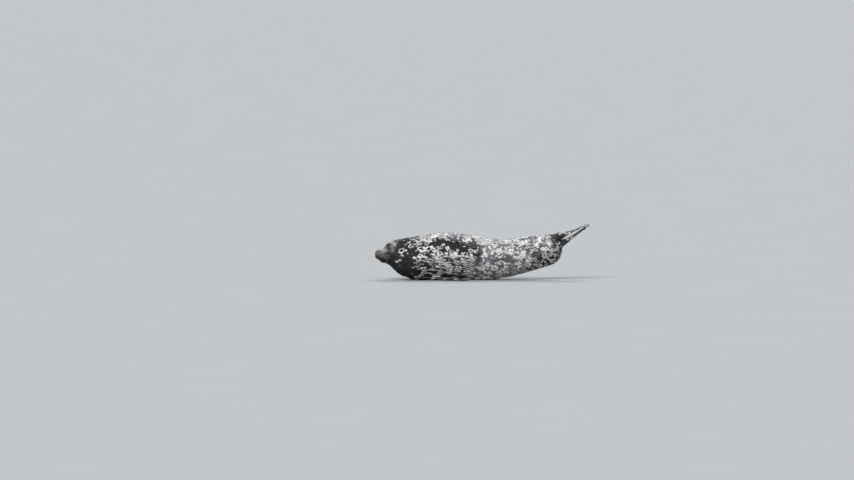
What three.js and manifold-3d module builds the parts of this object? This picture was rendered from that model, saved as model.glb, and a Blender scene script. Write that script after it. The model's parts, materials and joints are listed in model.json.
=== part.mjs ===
// A harbor seal lying on its right side with its belly to -Y, its head turned back almost upright at -X,
// and its hind flippers lifted at +X. One smooth body is swept along the spine and parted by thin cuts,
// and the flippers, the tail, the eyes and the claws are fitted to it.
// Millimetres, +Z up, the floor at z = 0, the origin under the middle of the animal.
import * as THREE from "three";
import { mergeVertices } from "three/addons/utils/BufferGeometryUtils.js";
import Module from "manifold-3d";

const wasm = await Module();
wasm.setup();

// ---- Driving dimensions ----
const GAP = 0.3; // air left between two touching pieces
const NOSE_DOME = 50; // length of the rounded front of the muzzle
const RUMP_DOME = 96; // length of the rounded end of the hips
const RUMP_END = 1494; // where the trunk ends, measured from the nose
const MIDDLE = { x: 861.5, y: -2 }; // the point of the swept body that stands over the origin
const FLOOR_SOFTNESS = 14; // height over which the flesh spreads where it meets the floor
const FLOOR_PRESS = 3.5; // how far the spread flesh is pressed flat
const AROUND = 40; // vertices in one ring of the body
const RING_STEP = { face: 11, trunk: 64, rump: 19 }; // distance between rings along the body

// Each eye sits in the face at a distance x behind the nose and an angle from the crown.
const EYE = { x: 102, degrees: 56, depth: 11.5, radius: 18.5 };
const NOSE_PAD = { f: 3, d: 26, size: [14, 21, 15] }; // half sizes of the leathery nose

// Flippers: the blade widens from the root to the free end and thins between two shares of its length.
const FORE_FLIPPER = { length: 300, rootWidth: 84, width: 112, root: 60, tip: 9, thins: [-0.1, 0.62] };
const HIND_FLIPPER = { length: 330, rootWidth: 92, width: 152, root: 80, tip: 7, thins: [0.2, 0.84] };
const DIGITS = 5;
const WEB_NOTCH = 0.035; // how far a web stays short of the digits beside it, as a share of the length
const CLAWS = { fore: { length: 31, base: 5 }, hind: { length: 21, base: 3.4 } };

// The upper fore flipper is folded back over the flank, its leading edge towards the belly.
const UPPER_FORE = { x: 530, degrees: 90, slant: 16, radius: 186, spread: 1.15 };
// The lower fore flipper is tucked under the chest and lies on the floor, its edge just showing.
const LOWER_FORE = { x: 462, y: -48, z: 12.5, turn: -14, tilt: 5 };
// The hind flippers curve up and back from the ankles, sole to sole. lean is the angle of the blade from
// upright, and top says on which side of it, up (1) or down (-1), the back of the foot and the claws are.
const HIND_PATHS = {
  left: { start: [1380, -4, 318], bend: [1545, -14, 368], end: [1688, -30, 444], lean: 90, top: 1 },
  right: { start: [1376, 0, 226], bend: [1545, 8, 309], end: [1727, 20, 449], lean: 100, top: -1 },
};
// The short flat tail between the ankles, wide from left to right and thin from back to belly.
const TAIL = { rootX: 1380, length: 192, width: 74, depth: 46, back: 54, rise: 26 };

// Thin leaning slabs part the body behind the head, the neck, the chest and the belly.
const CUTS = [
  { x: 176, z: 200, lean: -14 },
  { x: 306, z: 180, lean: -8 },
  { x: 640, z: 180, lean: 0 },
  { x: 1080, z: 180, lean: 0 },
];

// The rings that shape the body, from nose to rump. x runs back from the nose, y and z place the spine,
// wide is half the width, back and belly the depths above and below the spine, roll the lean of the section
// about the spine in degrees: 0 is upright and 90 lies flat on the right side.
const RINGS = [
  { x: 0, y: -24, z: 205, wide: 45, back: 44, belly: 46, roll: 10 },
  { x: 30, y: -20, z: 205, wide: 51, back: 48, belly: 53, roll: 10 },
  { x: 60, y: -16, z: 204, wide: 57, back: 51, belly: 62, roll: 10 },
  { x: 84, y: -13, z: 203, wide: 65, back: 76, belly: 68, roll: 10 },
  { x: 108, y: -10, z: 202, wide: 74, back: 100, belly: 78, roll: 10 },
  { x: 132, y: -7, z: 201, wide: 83, back: 115, belly: 93, roll: 11 },
  { x: 174, y: -3, z: 197, wide: 101, back: 131, belly: 124, roll: 15 },
  { x: 246, y: 0, z: 187, wide: 135, back: 156, belly: 164, roll: 27 },
  { x: 330, y: 0, z: 181, wide: 174, back: 168, belly: 180, roll: 43 },
  { x: 440, y: 0, z: 182, wide: 197, back: 167, belly: 166, roll: 60 },
  { x: 560, y: 0, z: 185, wide: 202, back: 165, belly: 168, roll: 65 },
  { x: 690, y: 0, z: 180, wide: 197, back: 158, belly: 163, roll: 66 },
  { x: 824, y: 1, z: 173, wide: 183, back: 150, belly: 156, roll: 66 },
  { x: 930, y: 2, z: 168, wide: 169, back: 142, belly: 148, roll: 66 },
  { x: 1030, y: 3, z: 173, wide: 159, back: 135, belly: 139, roll: 66 },
  { x: 1130, y: 3, z: 189, wide: 152, back: 125, belly: 128, roll: 67 },
  { x: 1224, y: 2, z: 208, wide: 147, back: 114, belly: 117, roll: 68 },
  { x: 1312, y: 0, z: 225, wide: 138, back: 101, belly: 105, roll: 69 },
  { x: 1400, y: 0, z: 243, wide: 126, back: 86, belly: 92, roll: 70 },
  { x: 1494, y: 0, z: 266, wide: 108, back: 70, belly: 78, roll: 70 },
];

// Gentle hills and hollows on both sides of the head. f runs back from the nose tip, l to the side and
// d to the crown. Each fades over its spread, and height is how far it lifts the skin.
const HEAD_HILLS = {
  whiskerPad: { f: 28, l: 34, d: -8, spread: [27, 22, 22], height: 8 },
  brow: { f: 99, l: 42, d: 82, spread: [24, 20, 17], height: 6 },
  cheek: { f: 124, l: 78, d: -4, spread: [40, 30, 36], height: 8 },
  hollowBeforeEye: { f: 82, l: 50, d: 46, spread: [16, 16, 15], height: -5 },
  chin: { f: 52, l: 0, d: -62, spread: [24, 24, 18], height: 5 },
};
const HEAD_END = 190; // the hills have faded out behind this distance from the nose
const JAW_SET_BACK = 9; // how far the lower jaw stays inside the upper lip

// ---- Small helpers ----
const radians = (degrees) => (degrees * Math.PI) / 180;
const clamp = (value, low, high) => Math.min(high, Math.max(low, value));
const smoothstep = (low, high, value) => {
  const t = clamp((value - low) / (high - low), 0, 1);
  return t * t * (3 - 2 * t);
};
const mix = (from, to, share) => from + (to - from) * share;
const hill = (...distances) => Math.exp(-distances.reduce((sum, d) => sum + d * d, 0));
const vector = ([x, y, z]) => new THREE.Vector3(x, y, z);
const count = (number, make) => Array.from({ length: number }, (_, i) => make(i));

// A smooth curve through the values of one column of the rings, with no overshoot between them.
function curveThrough(column) {
  const xs = RINGS.map((row) => row.x);
  const ys = RINGS.map((row) => row[column]);
  const steps = xs.slice(1).map((x, i) => (ys[i + 1] - ys[i]) / (x - xs[i]));
  const slopes = xs.map((_, i) => {
    const [before, after] = [steps[i - 1] ?? steps[i], steps[i] ?? steps[i - 1]];
    return before * after <= 0 ? 0 : (2 * before * after) / (before + after);
  });
  return (x) => {
    const i = clamp(xs.findIndex((end) => end > x) - 1, 0, xs.length - 2);
    const start = x >= xs.at(-1) ? xs.length - 2 : i;
    const width = xs[start + 1] - xs[start];
    const t = clamp((x - xs[start]) / width, 0, 1);
    const leaving = ys[start] * (1 + 2 * t) * (1 - t) ** 2 + width * slopes[start] * t * (1 - t) ** 2;
    const arriving = ys[start + 1] * t * t * (3 - 2 * t) + width * slopes[start + 1] * t * t * (t - 1);
    return leaving + arriving;
  };
}

// ---- The swept body ----
const spineY = curveThrough("y");
const spineZ = curveThrough("z");
const wide = curveThrough("wide");
const backDepth = curveThrough("back");
const bellyDepth = curveThrough("belly");
const roll = curveThrough("roll");
const QUARTER = Math.PI / 2;
const NOSE_ARC = NOSE_DOME * QUARTER;
const RUMP_ARC = RUMP_DOME * QUARTER;
const SPAN = NOSE_ARC + (RUMP_END - NOSE_DOME - RUMP_DOME) + RUMP_ARC; // the path over both domes

// Distance along the path to distance from the nose, and how far the dome has opened there.
function stationAt(s) {
  if (s < NOSE_ARC) {
    const angle = (s / NOSE_ARC) * QUARTER;
    return { x: NOSE_DOME * (1 - Math.cos(angle)), open: Math.sin(angle) };
  }
  if (s > SPAN - RUMP_ARC) {
    const angle = ((SPAN - s) / RUMP_ARC) * QUARTER;
    return { x: RUMP_END - RUMP_DOME * (1 - Math.cos(angle)), open: Math.sin(angle) };
  }
  return { x: s - NOSE_ARC + NOSE_DOME, open: 1 };
}

// The distance along the path of a place between the two domes.
const pathOf = (x) => x + NOSE_ARC - NOSE_DOME;

// The spine's place and the section's own left and back directions at a distance x from the nose.
function frameAt(x) {
  const reach = 4;
  const spine = (at) => new THREE.Vector3(at, spineY(at), spineZ(at));
  const tangent = spine(x + reach).sub(spine(x - reach)).normalize();
  const lean = radians(roll(x));
  const back = new THREE.Vector3(0, Math.sin(lean), Math.cos(lean));
  back.addScaledVector(tangent, -back.dot(tangent)).normalize();
  const left = new THREE.Vector3().crossVectors(tangent, back).normalize();
  return { centre: spine(x), tangent, back, left };
}

// A point of the bare swept body. The angle runs from the spine of the back (0) over the left side (90)
// and the belly (180) to the right side (270).
function sweptPoint(s, degrees, grow = 0) {
  const { x, open } = stationAt(s);
  const { centre, back, left } = frameAt(x);
  const angle = radians(degrees);
  const depth = Math.cos(angle) > 0 ? backDepth(x) : bellyDepth(x);
  return centre
    .addScaledVector(left, Math.sin(angle) * (wide(x) * open + grow))
    .addScaledVector(back, Math.cos(angle) * (depth * open + grow));
}

function sweptNormal(s, degrees) {
  const along = sweptPoint(s + 1, degrees).sub(sweptPoint(s - 1, degrees));
  const round = sweptPoint(s, degrees + 0.5).sub(sweptPoint(s, degrees - 0.5));
  return new THREE.Vector3().crossVectors(round, along).normalize();
}

// ---- The head's relief ----
const head = frameAt(70);
head.nose = new THREE.Vector3(0, spineY(0), spineZ(0));
const toHead = (p) => {
  const v = p.clone().sub(head.nose);
  return { f: v.dot(head.tangent), l: v.dot(head.left), d: v.dot(head.back) };
};
const fromHead = ({ f, l, d }) =>
  head.nose
    .clone()
    .addScaledVector(head.tangent, f)
    .addScaledVector(head.left, l)
    .addScaledVector(head.back, d);

const mouthHeight = (f) => mix(-31, -22, smoothstep(20, 92, f)); // the line between the lips

function headRelief({ f, l, d }) {
  const side = Math.abs(l);
  const heights = Object.values(HEAD_HILLS).map(({ spread: [sf, sl, sd], ...at }) => {
    return at.height * hill((f - at.f) / sf, (side - at.l) / sl, (d - at.d) / sd);
  });
  const jaw = smoothstep(2, -16, d - mouthHeight(f)) * (1 - smoothstep(10, 74, f));
  return heights.reduce((sum, height) => sum + height, 0) - JAW_SET_BACK * jaw;
}

// Flesh that would pass the floor spreads sideways and lies flat on it.
function pressOnFloor(p) {
  if (p.z >= FLOOR_SOFTNESS) return p;
  const below = (FLOOR_SOFTNESS - p.z) / FLOOR_SOFTNESS;
  p.z = FLOOR_SOFTNESS * (1 - Math.tanh(below)) - FLOOR_PRESS;
  return p;
}

function bodyPoint(s, degrees, grow = 0) {
  const p = sweptPoint(s, degrees, grow);
  const onHead = stationAt(s).x < HEAD_END;
  if (onHead) p.addScaledVector(sweptNormal(s, degrees), headRelief(toHead(p)));
  return pressOnFloor(p);
}

// ---- Meshes and solids ----
// The side of a skin: a band of triangles between each ring of points and the next.
function bandFaces(rings) {
  const size = rings[0].length;
  const faces = [];
  for (let i = 0; i + 1 < rings.length; i += 1)
    for (let j = 0; j < size; j += 1) {
      const [a, b] = [i * size + j, i * size + ((j + 1) % size)];
      faces.push([a, b, a + size], [b, b + size, a + size]);
    }
  return faces;
}

// A flat ring's own lid: a strip of triangles between its two halves.
function stripFaces(start, size) {
  const faces = [];
  for (let j = 0; j < size / 2; j += 1) {
    const [a, b, c, d] = [j, j + 1, (size - j) % size, size - j - 1].map((k) => start + k);
    if (j === 0) faces.push([a, d, b]);
    else if (j === size / 2 - 1) faces.push([a, c, b]);
    else faces.push([a, c, b], [b, c, d]);
  }
  return faces;
}

// Rings of points of one length become a closed skin, with a fan to a tip or a strip over each end.
function skinOf(rings, { first, last } = {}) {
  const size = rings[0].length;
  const points = rings.flat();
  const faces = bandFaces(rings);
  const turned = (list) => list.map((face) => face.reverse());
  const fanFaces = (start, tip) => count(size, (j) => [tip, start + ((j + 1) % size), start + j]);
  const lidOf = (start, tip) => {
    if (!tip) return stripFaces(start, size);
    points.push(tip);
    return fanFaces(start, points.length - 1);
  };
  faces.push(...lidOf(0, first));
  faces.push(...turned(lidOf((rings.length - 1) * size, last)));
  const geometry = new THREE.BufferGeometry().setFromPoints(points);
  geometry.setIndex(faces.flat());
  return geometry;
}

function solidOf(geometry) {
  geometry.deleteAttribute("normal");
  geometry.deleteAttribute("uv");
  const merged = mergeVertices(geometry, 1e-3);
  const solidWith = (triVerts) => {
    const vertProperties = merged.attributes.position.array;
    return new wasm.Manifold(new wasm.Mesh({ numProp: 3, vertProperties, triVerts }));
  };
  const faces = new Uint32Array(merged.index.array);
  const solid = solidWith(faces);
  return solid.volume() > 0 ? solid : solidWith(faces.reverse());
}

function boxSolid(size, place) {
  const geometry = new THREE.BoxGeometry(...size);
  geometry.applyMatrix4(place);
  return solidOf(geometry);
}

const centreOf = (ring) => {
  return ring.reduce((sum, p) => sum.add(p), new THREE.Vector3()).divideScalar(ring.length);
};
const closedAtCentres = (rings) =>
  solidOf(skinOf(rings, { first: centreOf(rings[0]), last: centreOf(rings.at(-1)) }));
const largest = (solid) => solid.decompose().sort((a, b) => b.volume() - a.volume())[0];
const underFloor = boxSolid([4000, 2000, 400], new THREE.Matrix4().makeTranslation(800, 0, -200));

// Ring places: close together on the face, wider apart along the trunk, close again on the rump.
function ringPlaces() {
  const places = [];
  const [first, last] = [6, SPAN - 8];
  for (let s = first; s < last; ) {
    places.push(s);
    const awayFromNose = mix(RING_STEP.face, RING_STEP.trunk, smoothstep(150, 420, s));
    const awayFromRump = mix(RING_STEP.rump, RING_STEP.trunk, smoothstep(30, 200, SPAN - s));
    s += Math.min(awayFromNose, awayFromRump);
  }
  return places;
}

function bodySolid(grow = 0) {
  const ringAt = (s) => count(AROUND, (j) => bodyPoint(s, (j * 360) / AROUND, grow));
  const tipAt = (s, push) => bodyPoint(s, 0).add(new THREE.Vector3(push, 0, 0));
  const tips = { first: tipAt(0.01, -grow), last: tipAt(SPAN - 0.01, grow) };
  return solidOf(skinOf(ringPlaces().map(ringAt), tips));
}

// ---- Flippers ----
// A flat limb with a thick root and five ridged digits joined by webs. across runs from -1 to 1 over its
// width, and the reach of each digit sets the outline of the free end.
const FLIPPER_STEPS = 8;
const FLIPPER_HALVES = 2 * DIGITS; // a point on each digit's ridge and on each web between them
const onDigit = (across) => {
  const phase = (clamp(across, -0.999, 0.999) + 1) / 2;
  return 0.5 - 0.5 * Math.cos(2 * Math.PI * DIGITS * phase);
};
const OUTLINES = {
  // the first digit of a fore flipper reaches furthest, towards across = 1
  fore: (across) => 1 - 0.27 * smoothstep(0.5, -1, across) - 0.05 * smoothstep(0.7, 1, across),
  // the two outer digits of a hind flipper reach furthest
  hind: (across) => 0.8 + 0.2 * Math.abs(across) ** 1.3 - 0.05 * smoothstep(0.8, 1, Math.abs(across)),
};

function flipperShape(kind) {
  const size = kind === "fore" ? FORE_FLIPPER : HIND_FLIPPER;
  const reach = (across) => {
    const notch = Math.abs(across) < 0.8 ? WEB_NOTCH * (1 - onDigit(across)) : 0;
    return size.length * (OUTLINES[kind](across) - notch);
  };
  const halfWidth = (u) => mix(size.rootWidth, size.width, smoothstep(0.1, 0.75, u)) / 2;
  const halfDepth = (u, across) => {
    const thinned = smoothstep(...size.thins, u) ** 0.8;
    const ridge = 1 - 0.4 * smoothstep(0.25, 0.7, u) * (1 - onDigit(across));
    const edge = (1 - Math.abs(across) ** mix(2, 3, smoothstep(0.2, 0.6, u))) ** 0.5;
    return (mix(size.root, size.tip, thinned) / 2) * ridge * edge;
  };
  return { reach, halfWidth, halfDepth };
}

function flipperSolid(kind, place, grow = 0) {
  const { reach, halfWidth, halfDepth } = flipperShape(kind);
  const ringAt = (step) => {
    const u = step / FLIPPER_STEPS;
    const thinEnd = step === FLIPPER_STEPS ? 0.55 : 1;
    const point = (k, side) => {
      const across = (2 * k) / FLIPPER_HALVES - 1;
      const depth = side * (halfDepth(u, across) * thinEnd + grow);
      return place(u * (reach(across) + grow), across * (halfWidth(u) + grow), depth);
    };
    const upper = count(FLIPPER_HALVES - 1, (i) => point(i + 1, 1));
    const lower = count(FLIPPER_HALVES - 1, (i) => point(FLIPPER_HALVES - 1 - i, -1));
    return [point(0, 0), ...upper, point(FLIPPER_HALVES, 0), ...lower];
  };
  return solidOf(skinOf(count(FLIPPER_STEPS + 1, ringAt)));
}

function onFlank(along, across, up) {
  const slant = radians(UPPER_FORE.slant);
  const spread = across * UPPER_FORE.spread;
  const x = UPPER_FORE.x + along * Math.cos(slant) - spread * Math.sin(slant);
  const round = along * Math.sin(slant) + spread * Math.cos(slant);
  const degrees = UPPER_FORE.degrees + THREE.MathUtils.radToDeg(round / UPPER_FORE.radius);
  const s = pathOf(x);
  const leadingEdge = smoothstep(0, 60, across) * smoothstep(60, 160, along);
  const lift = mix(-27, 7, smoothstep(0, 140, along)) + 5 * leadingEdge;
  return sweptPoint(s, degrees).addScaledVector(sweptNormal(s, degrees), lift + up);
}

function onFloor(along, across, up) {
  const turn = radians(LOWER_FORE.turn);
  const tilt = radians(LOWER_FORE.tilt);
  const side = -across * Math.cos(tilt);
  const rootRise = mix(14, 0, smoothstep(0, 120, along));
  const tipDrop = mix(0, 5.5, smoothstep(150, 290, along));
  return new THREE.Vector3(
    LOWER_FORE.x + along * Math.cos(turn) - side * Math.sin(turn),
    LOWER_FORE.y + along * Math.sin(turn) + side * Math.cos(turn),
    LOWER_FORE.z + rootRise - tipDrop + up - across * Math.sin(tilt) * 0.4,
  );
}

function onHindPath({ start, bend, end, lean, top }) {
  const path = new THREE.QuadraticBezierCurve3(vector(start), vector(bend), vector(end));
  const blade = new THREE.Vector3(0, Math.sin(radians(lean)), Math.cos(radians(lean)));
  return (along, across, up) => {
    const t = along / HIND_FLIPPER.length;
    const forward = path.getTangent(clamp(t, 0, 1));
    const sideways = blade.clone().addScaledVector(forward, -blade.dot(forward)).normalize();
    const face = new THREE.Vector3().crossVectors(forward, sideways);
    const cup = -0.0009 * top * across * across * smoothstep(0.3, 1, t);
    const splay = 1 + 0.16 * smoothstep(0.5, 1, t);
    return path
      .getPoint(clamp(t, 0, 1))
      .addScaledVector(forward, Math.max(0, along - HIND_FLIPPER.length))
      .addScaledVector(sideways, across * splay)
      .addScaledVector(face, up + cup);
  };
}

const LIMBS = {
  fore_left: { kind: "fore", place: onFlank, top: 1 },
  fore_right: { kind: "fore", place: onFloor, top: 1 },
  hind_left: { kind: "hind", place: onHindPath(HIND_PATHS.left), top: HIND_PATHS.left.top },
  hind_right: { kind: "hind", place: onHindPath(HIND_PATHS.right), top: HIND_PATHS.right.top },
};
const limbSolid = (name, grow = 0) => flipperSolid(LIMBS[name].kind, LIMBS[name].place, grow);

// ---- Claws ----
const CLAW_SIDES = 4;
const CLAW_STEPS = 3;
const CLAW_POINT = 0.35; // radius left at the point

// A curved, pointed claw that grows from the top of a digit's tip and bends down over it.
function clawSolid({ kind, place, top }, digit) {
  const { reach, halfWidth, halfDepth } = flipperShape(kind);
  const { length, base } = CLAWS[kind];
  const across = ((digit + 0.5) / DIGITS) * 2 - 1;
  const start = reach(across) - 0.42 * length;
  const height = halfDepth(0.9, across) * 0.8 + base * 0.5;
  const ringAt = (step) => {
    const t = step / CLAW_STEPS;
    const radius = base * (1 - t) ** 0.8 + CLAW_POINT;
    const bow = height + length * (0.16 * t - 0.34 * t * t);
    return count(CLAW_SIDES, (k) => {
      const angle = (k * 2 * Math.PI) / CLAW_SIDES;
      const side = across * halfWidth(1) + 0.78 * radius * Math.cos(angle);
      return place(start + length * t, side, top * (bow + radius * Math.sin(angle)));
    });
  };
  return closedAtCentres(count(CLAW_STEPS + 1, ringAt));
}

// ---- Tail ----
function tailSolid(grow = 0) {
  const { centre, back, left, tangent } = frameAt(TAIL.rootX);
  const [steps, sides] = [7, 12];
  const ringAt = (step) => {
    const t = step / (steps - 1);
    const taper = Math.sqrt(1 - (0.98 * t) ** 3);
    const halfDepth = (TAIL.depth / 2) * taper * mix(1, 0.55, t) + grow;
    const halfWidth = (TAIL.width / 2) * taper + grow;
    return count(sides, (k) => {
      const angle = (k * 2 * Math.PI) / sides;
      return centre
        .clone()
        .addScaledVector(tangent, TAIL.length * t)
        .addScaledVector(back, TAIL.back - 8 * t + Math.cos(angle) * halfDepth)
        .addScaledVector(left, TAIL.rise * t + Math.sin(angle) * halfWidth);
    });
  };
  return closedAtCentres(count(steps, ringAt));
}

// ---- Eyes and nose ----
function eyeSolid(side, grow = 0) {
  const degrees = side === "left" ? EYE.degrees : 360 - EYE.degrees;
  const s = pathOf(EYE.x);
  const at = bodyPoint(s, degrees).addScaledVector(sweptNormal(s, degrees), -EYE.depth);
  const ball = new THREE.SphereGeometry(EYE.radius + grow, 12, 8);
  ball.translate(at.x, at.y, at.z);
  return solidOf(ball);
}

function noseSolid(grow = 0) {
  const pad = new THREE.SphereGeometry(1, 12, 8);
  pad.scale(...NOSE_PAD.size.map((half) => half + grow));
  const at = fromHead({ f: NOSE_PAD.f, l: 0, d: NOSE_PAD.d });
  pad.translate(at.x, at.y, at.z);
  return solidOf(pad);
}

// ---- Materials ----
const material = (color, roughness) => {
  return new THREE.MeshStandardMaterial({ color, roughness, metalness: 0 });
};
const COAT = material(0x8d9190, 0.62);
const DARK_COAT = material(0x34383a, 0.6);
const FACE_COAT = material(0x77716a, 0.62);
const NOSE_SKIN = material(0x1c1b1c, 0.4);
const EYE_GLOSS = material(0x0b0a0a, 0.08);
const CLAW_HORN = material(0x2a2420, 0.35);

// ---- Assembly ----
const seal = new THREE.Group();
seal.position.set(-MIDDLE.x, -MIDDLE.y, 0);

function addPiece(name, solid, finish) {
  const { vertProperties, triVerts } = solid.getMesh();
  const geometry = new THREE.BufferGeometry();
  geometry.setAttribute("position", new THREE.BufferAttribute(new Float32Array(vertProperties), 3));
  geometry.setIndex(new THREE.BufferAttribute(new Uint32Array(triVerts), 1));
  geometry.computeVertexNormals();
  const piece = new THREE.Mesh(geometry, finish);
  piece.name = name;
  seal.add(piece);
}

const SIDES = ["left", "right"];
const body = bodySolid().subtract(underFloor);
const cover = bodySolid(GAP);

function addTrunk() {
  const finishes = { head: FACE_COAT, neck: DARK_COAT, chest: COAT, belly: COAT, hips: COAT };
  const slab = ({ x, z, lean }) => {
    const place = new THREE.Matrix4().makeRotationY(radians(lean)).setPosition(x, 0, z);
    return boxSolid([GAP, 1200, 1200], place);
  };
  const eyes = SIDES.map((side) => eyeSolid(side, GAP));
  const cutters = [noseSolid(GAP), limbSolid("fore_right", GAP), ...eyes, ...CUTS.map(slab)];
  const parted = cutters.reduce((solid, cutter) => solid.subtract(cutter), body);
  const nearerNose = (a, b) => a.boundingBox().min[0] - b.boundingBox().min[0];
  const tooSmall = 50; // cubic millimetres of a sliver that a cut leaves
  const lengths = parted.decompose().filter((solid) => solid.volume() > tooSmall).sort(nearerNose);
  Object.entries(finishes).forEach(([name, finish], i) => addPiece(name, lengths[i], finish));
}

function addFace() {
  addPiece("nose", largest(body.intersect(noseSolid())), NOSE_SKIN);
  SIDES.forEach((side) => addPiece(`eye_${side}`, eyeSolid(side), EYE_GLOSS));
}

function addLimbs() {
  const tailRoom = tailSolid(GAP);
  const hindRoom = cover.add(tailRoom);
  const rooms = {
    fore_left: cover,
    fore_right: underFloor,
    hind_left: hindRoom,
    hind_right: hindRoom.add(limbSolid("hind_left", GAP)),
  };
  Object.entries(rooms).forEach(([name, room]) => {
    const [pair, side] = name.split("_");
    const finish = pair === "fore" && side === "right" ? DARK_COAT : COAT;
    addPiece(`${pair}_flipper_${side}`, largest(limbSolid(name).subtract(room)), finish);
  });
  addPiece("tail", largest(tailSolid().subtract(cover)), COAT);
}

function addClaws() {
  const flesh = Object.keys(LIMBS).reduce((solid, name) => solid.add(limbSolid(name, GAP)), cover);
  const taken = flesh.add(underFloor);
  Object.entries(LIMBS).forEach(([name, limb]) => {
    count(DIGITS, (digit) => {
      addPiece(`claw_${name}_${DIGITS - digit}`, largest(clawSolid(limb, digit).subtract(taken)), CLAW_HORN);
    });
  });
}

addTrunk();
addFace();
addLimbs();
addClaws();

export default seal;
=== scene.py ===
# %% [markdown]
# # A harbor seal resting on its side
# A life-size museum model of an adult harbor seal. It lies on its right side with its belly towards the
# viewer, the head turned back upright and the hind flippers lifted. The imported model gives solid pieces
# that meet. Here one smooth skin takes their place, and over it come the coat, the face and the claws.
# Everything is computed from a few shape functions, so that any size can be changed in one place.

import json
import math

import bpy
import numpy as np
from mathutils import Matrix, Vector
from mathutils.kdtree import KDTree

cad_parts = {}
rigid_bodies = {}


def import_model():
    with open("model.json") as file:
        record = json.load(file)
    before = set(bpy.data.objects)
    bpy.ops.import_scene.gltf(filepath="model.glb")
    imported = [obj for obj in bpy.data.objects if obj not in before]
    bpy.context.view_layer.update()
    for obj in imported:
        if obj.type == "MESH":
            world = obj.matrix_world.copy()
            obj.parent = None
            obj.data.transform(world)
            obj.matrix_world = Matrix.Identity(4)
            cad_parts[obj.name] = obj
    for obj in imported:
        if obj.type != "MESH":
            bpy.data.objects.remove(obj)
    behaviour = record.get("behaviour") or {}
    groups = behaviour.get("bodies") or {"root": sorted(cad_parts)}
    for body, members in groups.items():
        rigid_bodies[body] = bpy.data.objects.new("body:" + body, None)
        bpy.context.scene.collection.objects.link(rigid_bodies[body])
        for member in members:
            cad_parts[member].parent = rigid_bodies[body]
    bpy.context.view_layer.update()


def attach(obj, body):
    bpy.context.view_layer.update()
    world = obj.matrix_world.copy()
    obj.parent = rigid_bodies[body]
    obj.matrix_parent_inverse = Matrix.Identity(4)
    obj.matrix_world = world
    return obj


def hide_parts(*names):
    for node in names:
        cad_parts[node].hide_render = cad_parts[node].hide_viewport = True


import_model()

# %% [markdown]
# ## The camera and the light
# The animal is seen from far away through a long lens, almost level, so its outline hardly narrows with
# distance. A very soft sun overhead and a pale sky give the even light of an overcast day, which suits a
# coat of black and white because neither end loses its detail. Lamps near by would be another way, but
# they leave a pool of light on a wide floor, and a sun lights all of it alike.

# %% Camera and lights
VIEW_CENTRE = Vector((-0.4455, 0.0, 0.320))  # what the camera looks at
VIEW_WIDTH = 6.832  # metres that the view spans at the animal
VIEW_DISTANCE = 60.0
VIEW_ELEVATION = math.radians(3.0)
SENSOR = 36.0  # millimetres


def put_in_scene(name, data):
    made = bpy.data.objects.new(name, data)
    bpy.context.scene.collection.objects.link(made)
    return made


def add_camera():
    camera = put_in_scene("camera", bpy.data.cameras.new("camera"))
    back = Vector((0, -math.cos(VIEW_ELEVATION), math.sin(VIEW_ELEVATION)))
    camera.location = VIEW_CENTRE + back * VIEW_DISTANCE
    camera.rotation_euler = (math.pi / 2 - VIEW_ELEVATION, 0, 0)
    camera.data.sensor_width = SENSOR
    camera.data.lens = SENSOR * VIEW_DISTANCE / VIEW_WIDTH
    camera.data.clip_end = 1000
    bpy.context.scene.camera = camera


def add_sun(name, elevation, azimuth, softness, strength, colour):
    """A soft lamp at a great distance: azimuth 0 shines from behind the camera, 90 from the right."""
    lamp = bpy.data.lights.new(name, "SUN")
    lamp.angle, lamp.energy, lamp.color = math.radians(softness), strength, colour
    up, turned = math.radians(elevation), math.radians(azimuth)
    towards = Vector((math.sin(turned) * math.cos(up), -math.cos(turned) * math.cos(up), math.sin(up)))
    put_in_scene(name, lamp).rotation_euler = towards.to_track_quat("Z", "Y").to_euler()


def add_sky(colour, strength):
    world = bpy.data.worlds.new("pale sky")
    world.use_nodes = True
    background = world.node_tree.nodes["Background"].inputs
    background["Color"].default_value = (*colour, 1)
    background["Strength"].default_value = strength
    bpy.context.scene.world = world


add_camera()
add_sun("overhead", 44, -20, 32, 3.1, (0.985, 0.99, 1.0))
add_sun("rim", 60, 165, 30, 1.5, (0.95, 0.98, 1.0))
add_sky((0.93, 0.965, 1.0), 0.44)
bpy.context.scene.view_settings.view_transform = "Standard"
print("camera lens", round(bpy.context.scene.camera.data.lens, 1), "mm")

# %% [markdown]
# ## Small shape helpers
# Every shape below is worked out for whole arrays of points at once. A few functions do most of the
# work: a smooth step from 0 to 1, a mix of two values, a round hill that fades with distance, and a
# point moved by distances along directions.

# %% Helpers for shapes
MM = 0.001


def smoothstep(low, high, value):
    share = np.clip((value - low) / (high - low), 0, 1)
    return share * share * (3 - 2 * share)


def mix(start, end, share):
    return start + (end - start) * share


def hill(*distances):
    return np.exp(-sum(np.square(distance) for distance in distances))


def dot(a, b):
    return np.sum(a * b, axis=-1)


def unit(vectors):
    return vectors / np.maximum(np.linalg.norm(vectors, axis=-1, keepdims=True), 1e-9)


def level_with(vectors, normal):
    """Unit vectors with their part along the normal taken away."""
    return unit(vectors - dot(vectors, normal)[..., None] * normal)


def moved(start, *steps):
    """Points moved by each distance along its direction."""
    for distance, direction in steps:
        start = start + distance[..., None] * direction
    return start


def around_circle(count):
    return np.linspace(0, 2 * np.pi, count, endpoint=False)


def ripples(points, wavelength, seed, waves=28):
    """Soft irregular bumps between about -1 and 1: sine waves in random directions added up."""
    rng = np.random.default_rng(seed)
    directions = unit(rng.normal(size=(waves, 3)))
    pace = 2 * np.pi / (wavelength * rng.uniform(0.75, 1.5, waves))
    phase = rng.uniform(0, 2 * np.pi, waves)
    return np.sin(points @ (directions * pace[:, None]).T + phase).sum(-1) / math.sqrt(waves)


print("a quarter of the way up a smooth step:", round(float(smoothstep(0, 1, 0.25)), 3))

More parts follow.
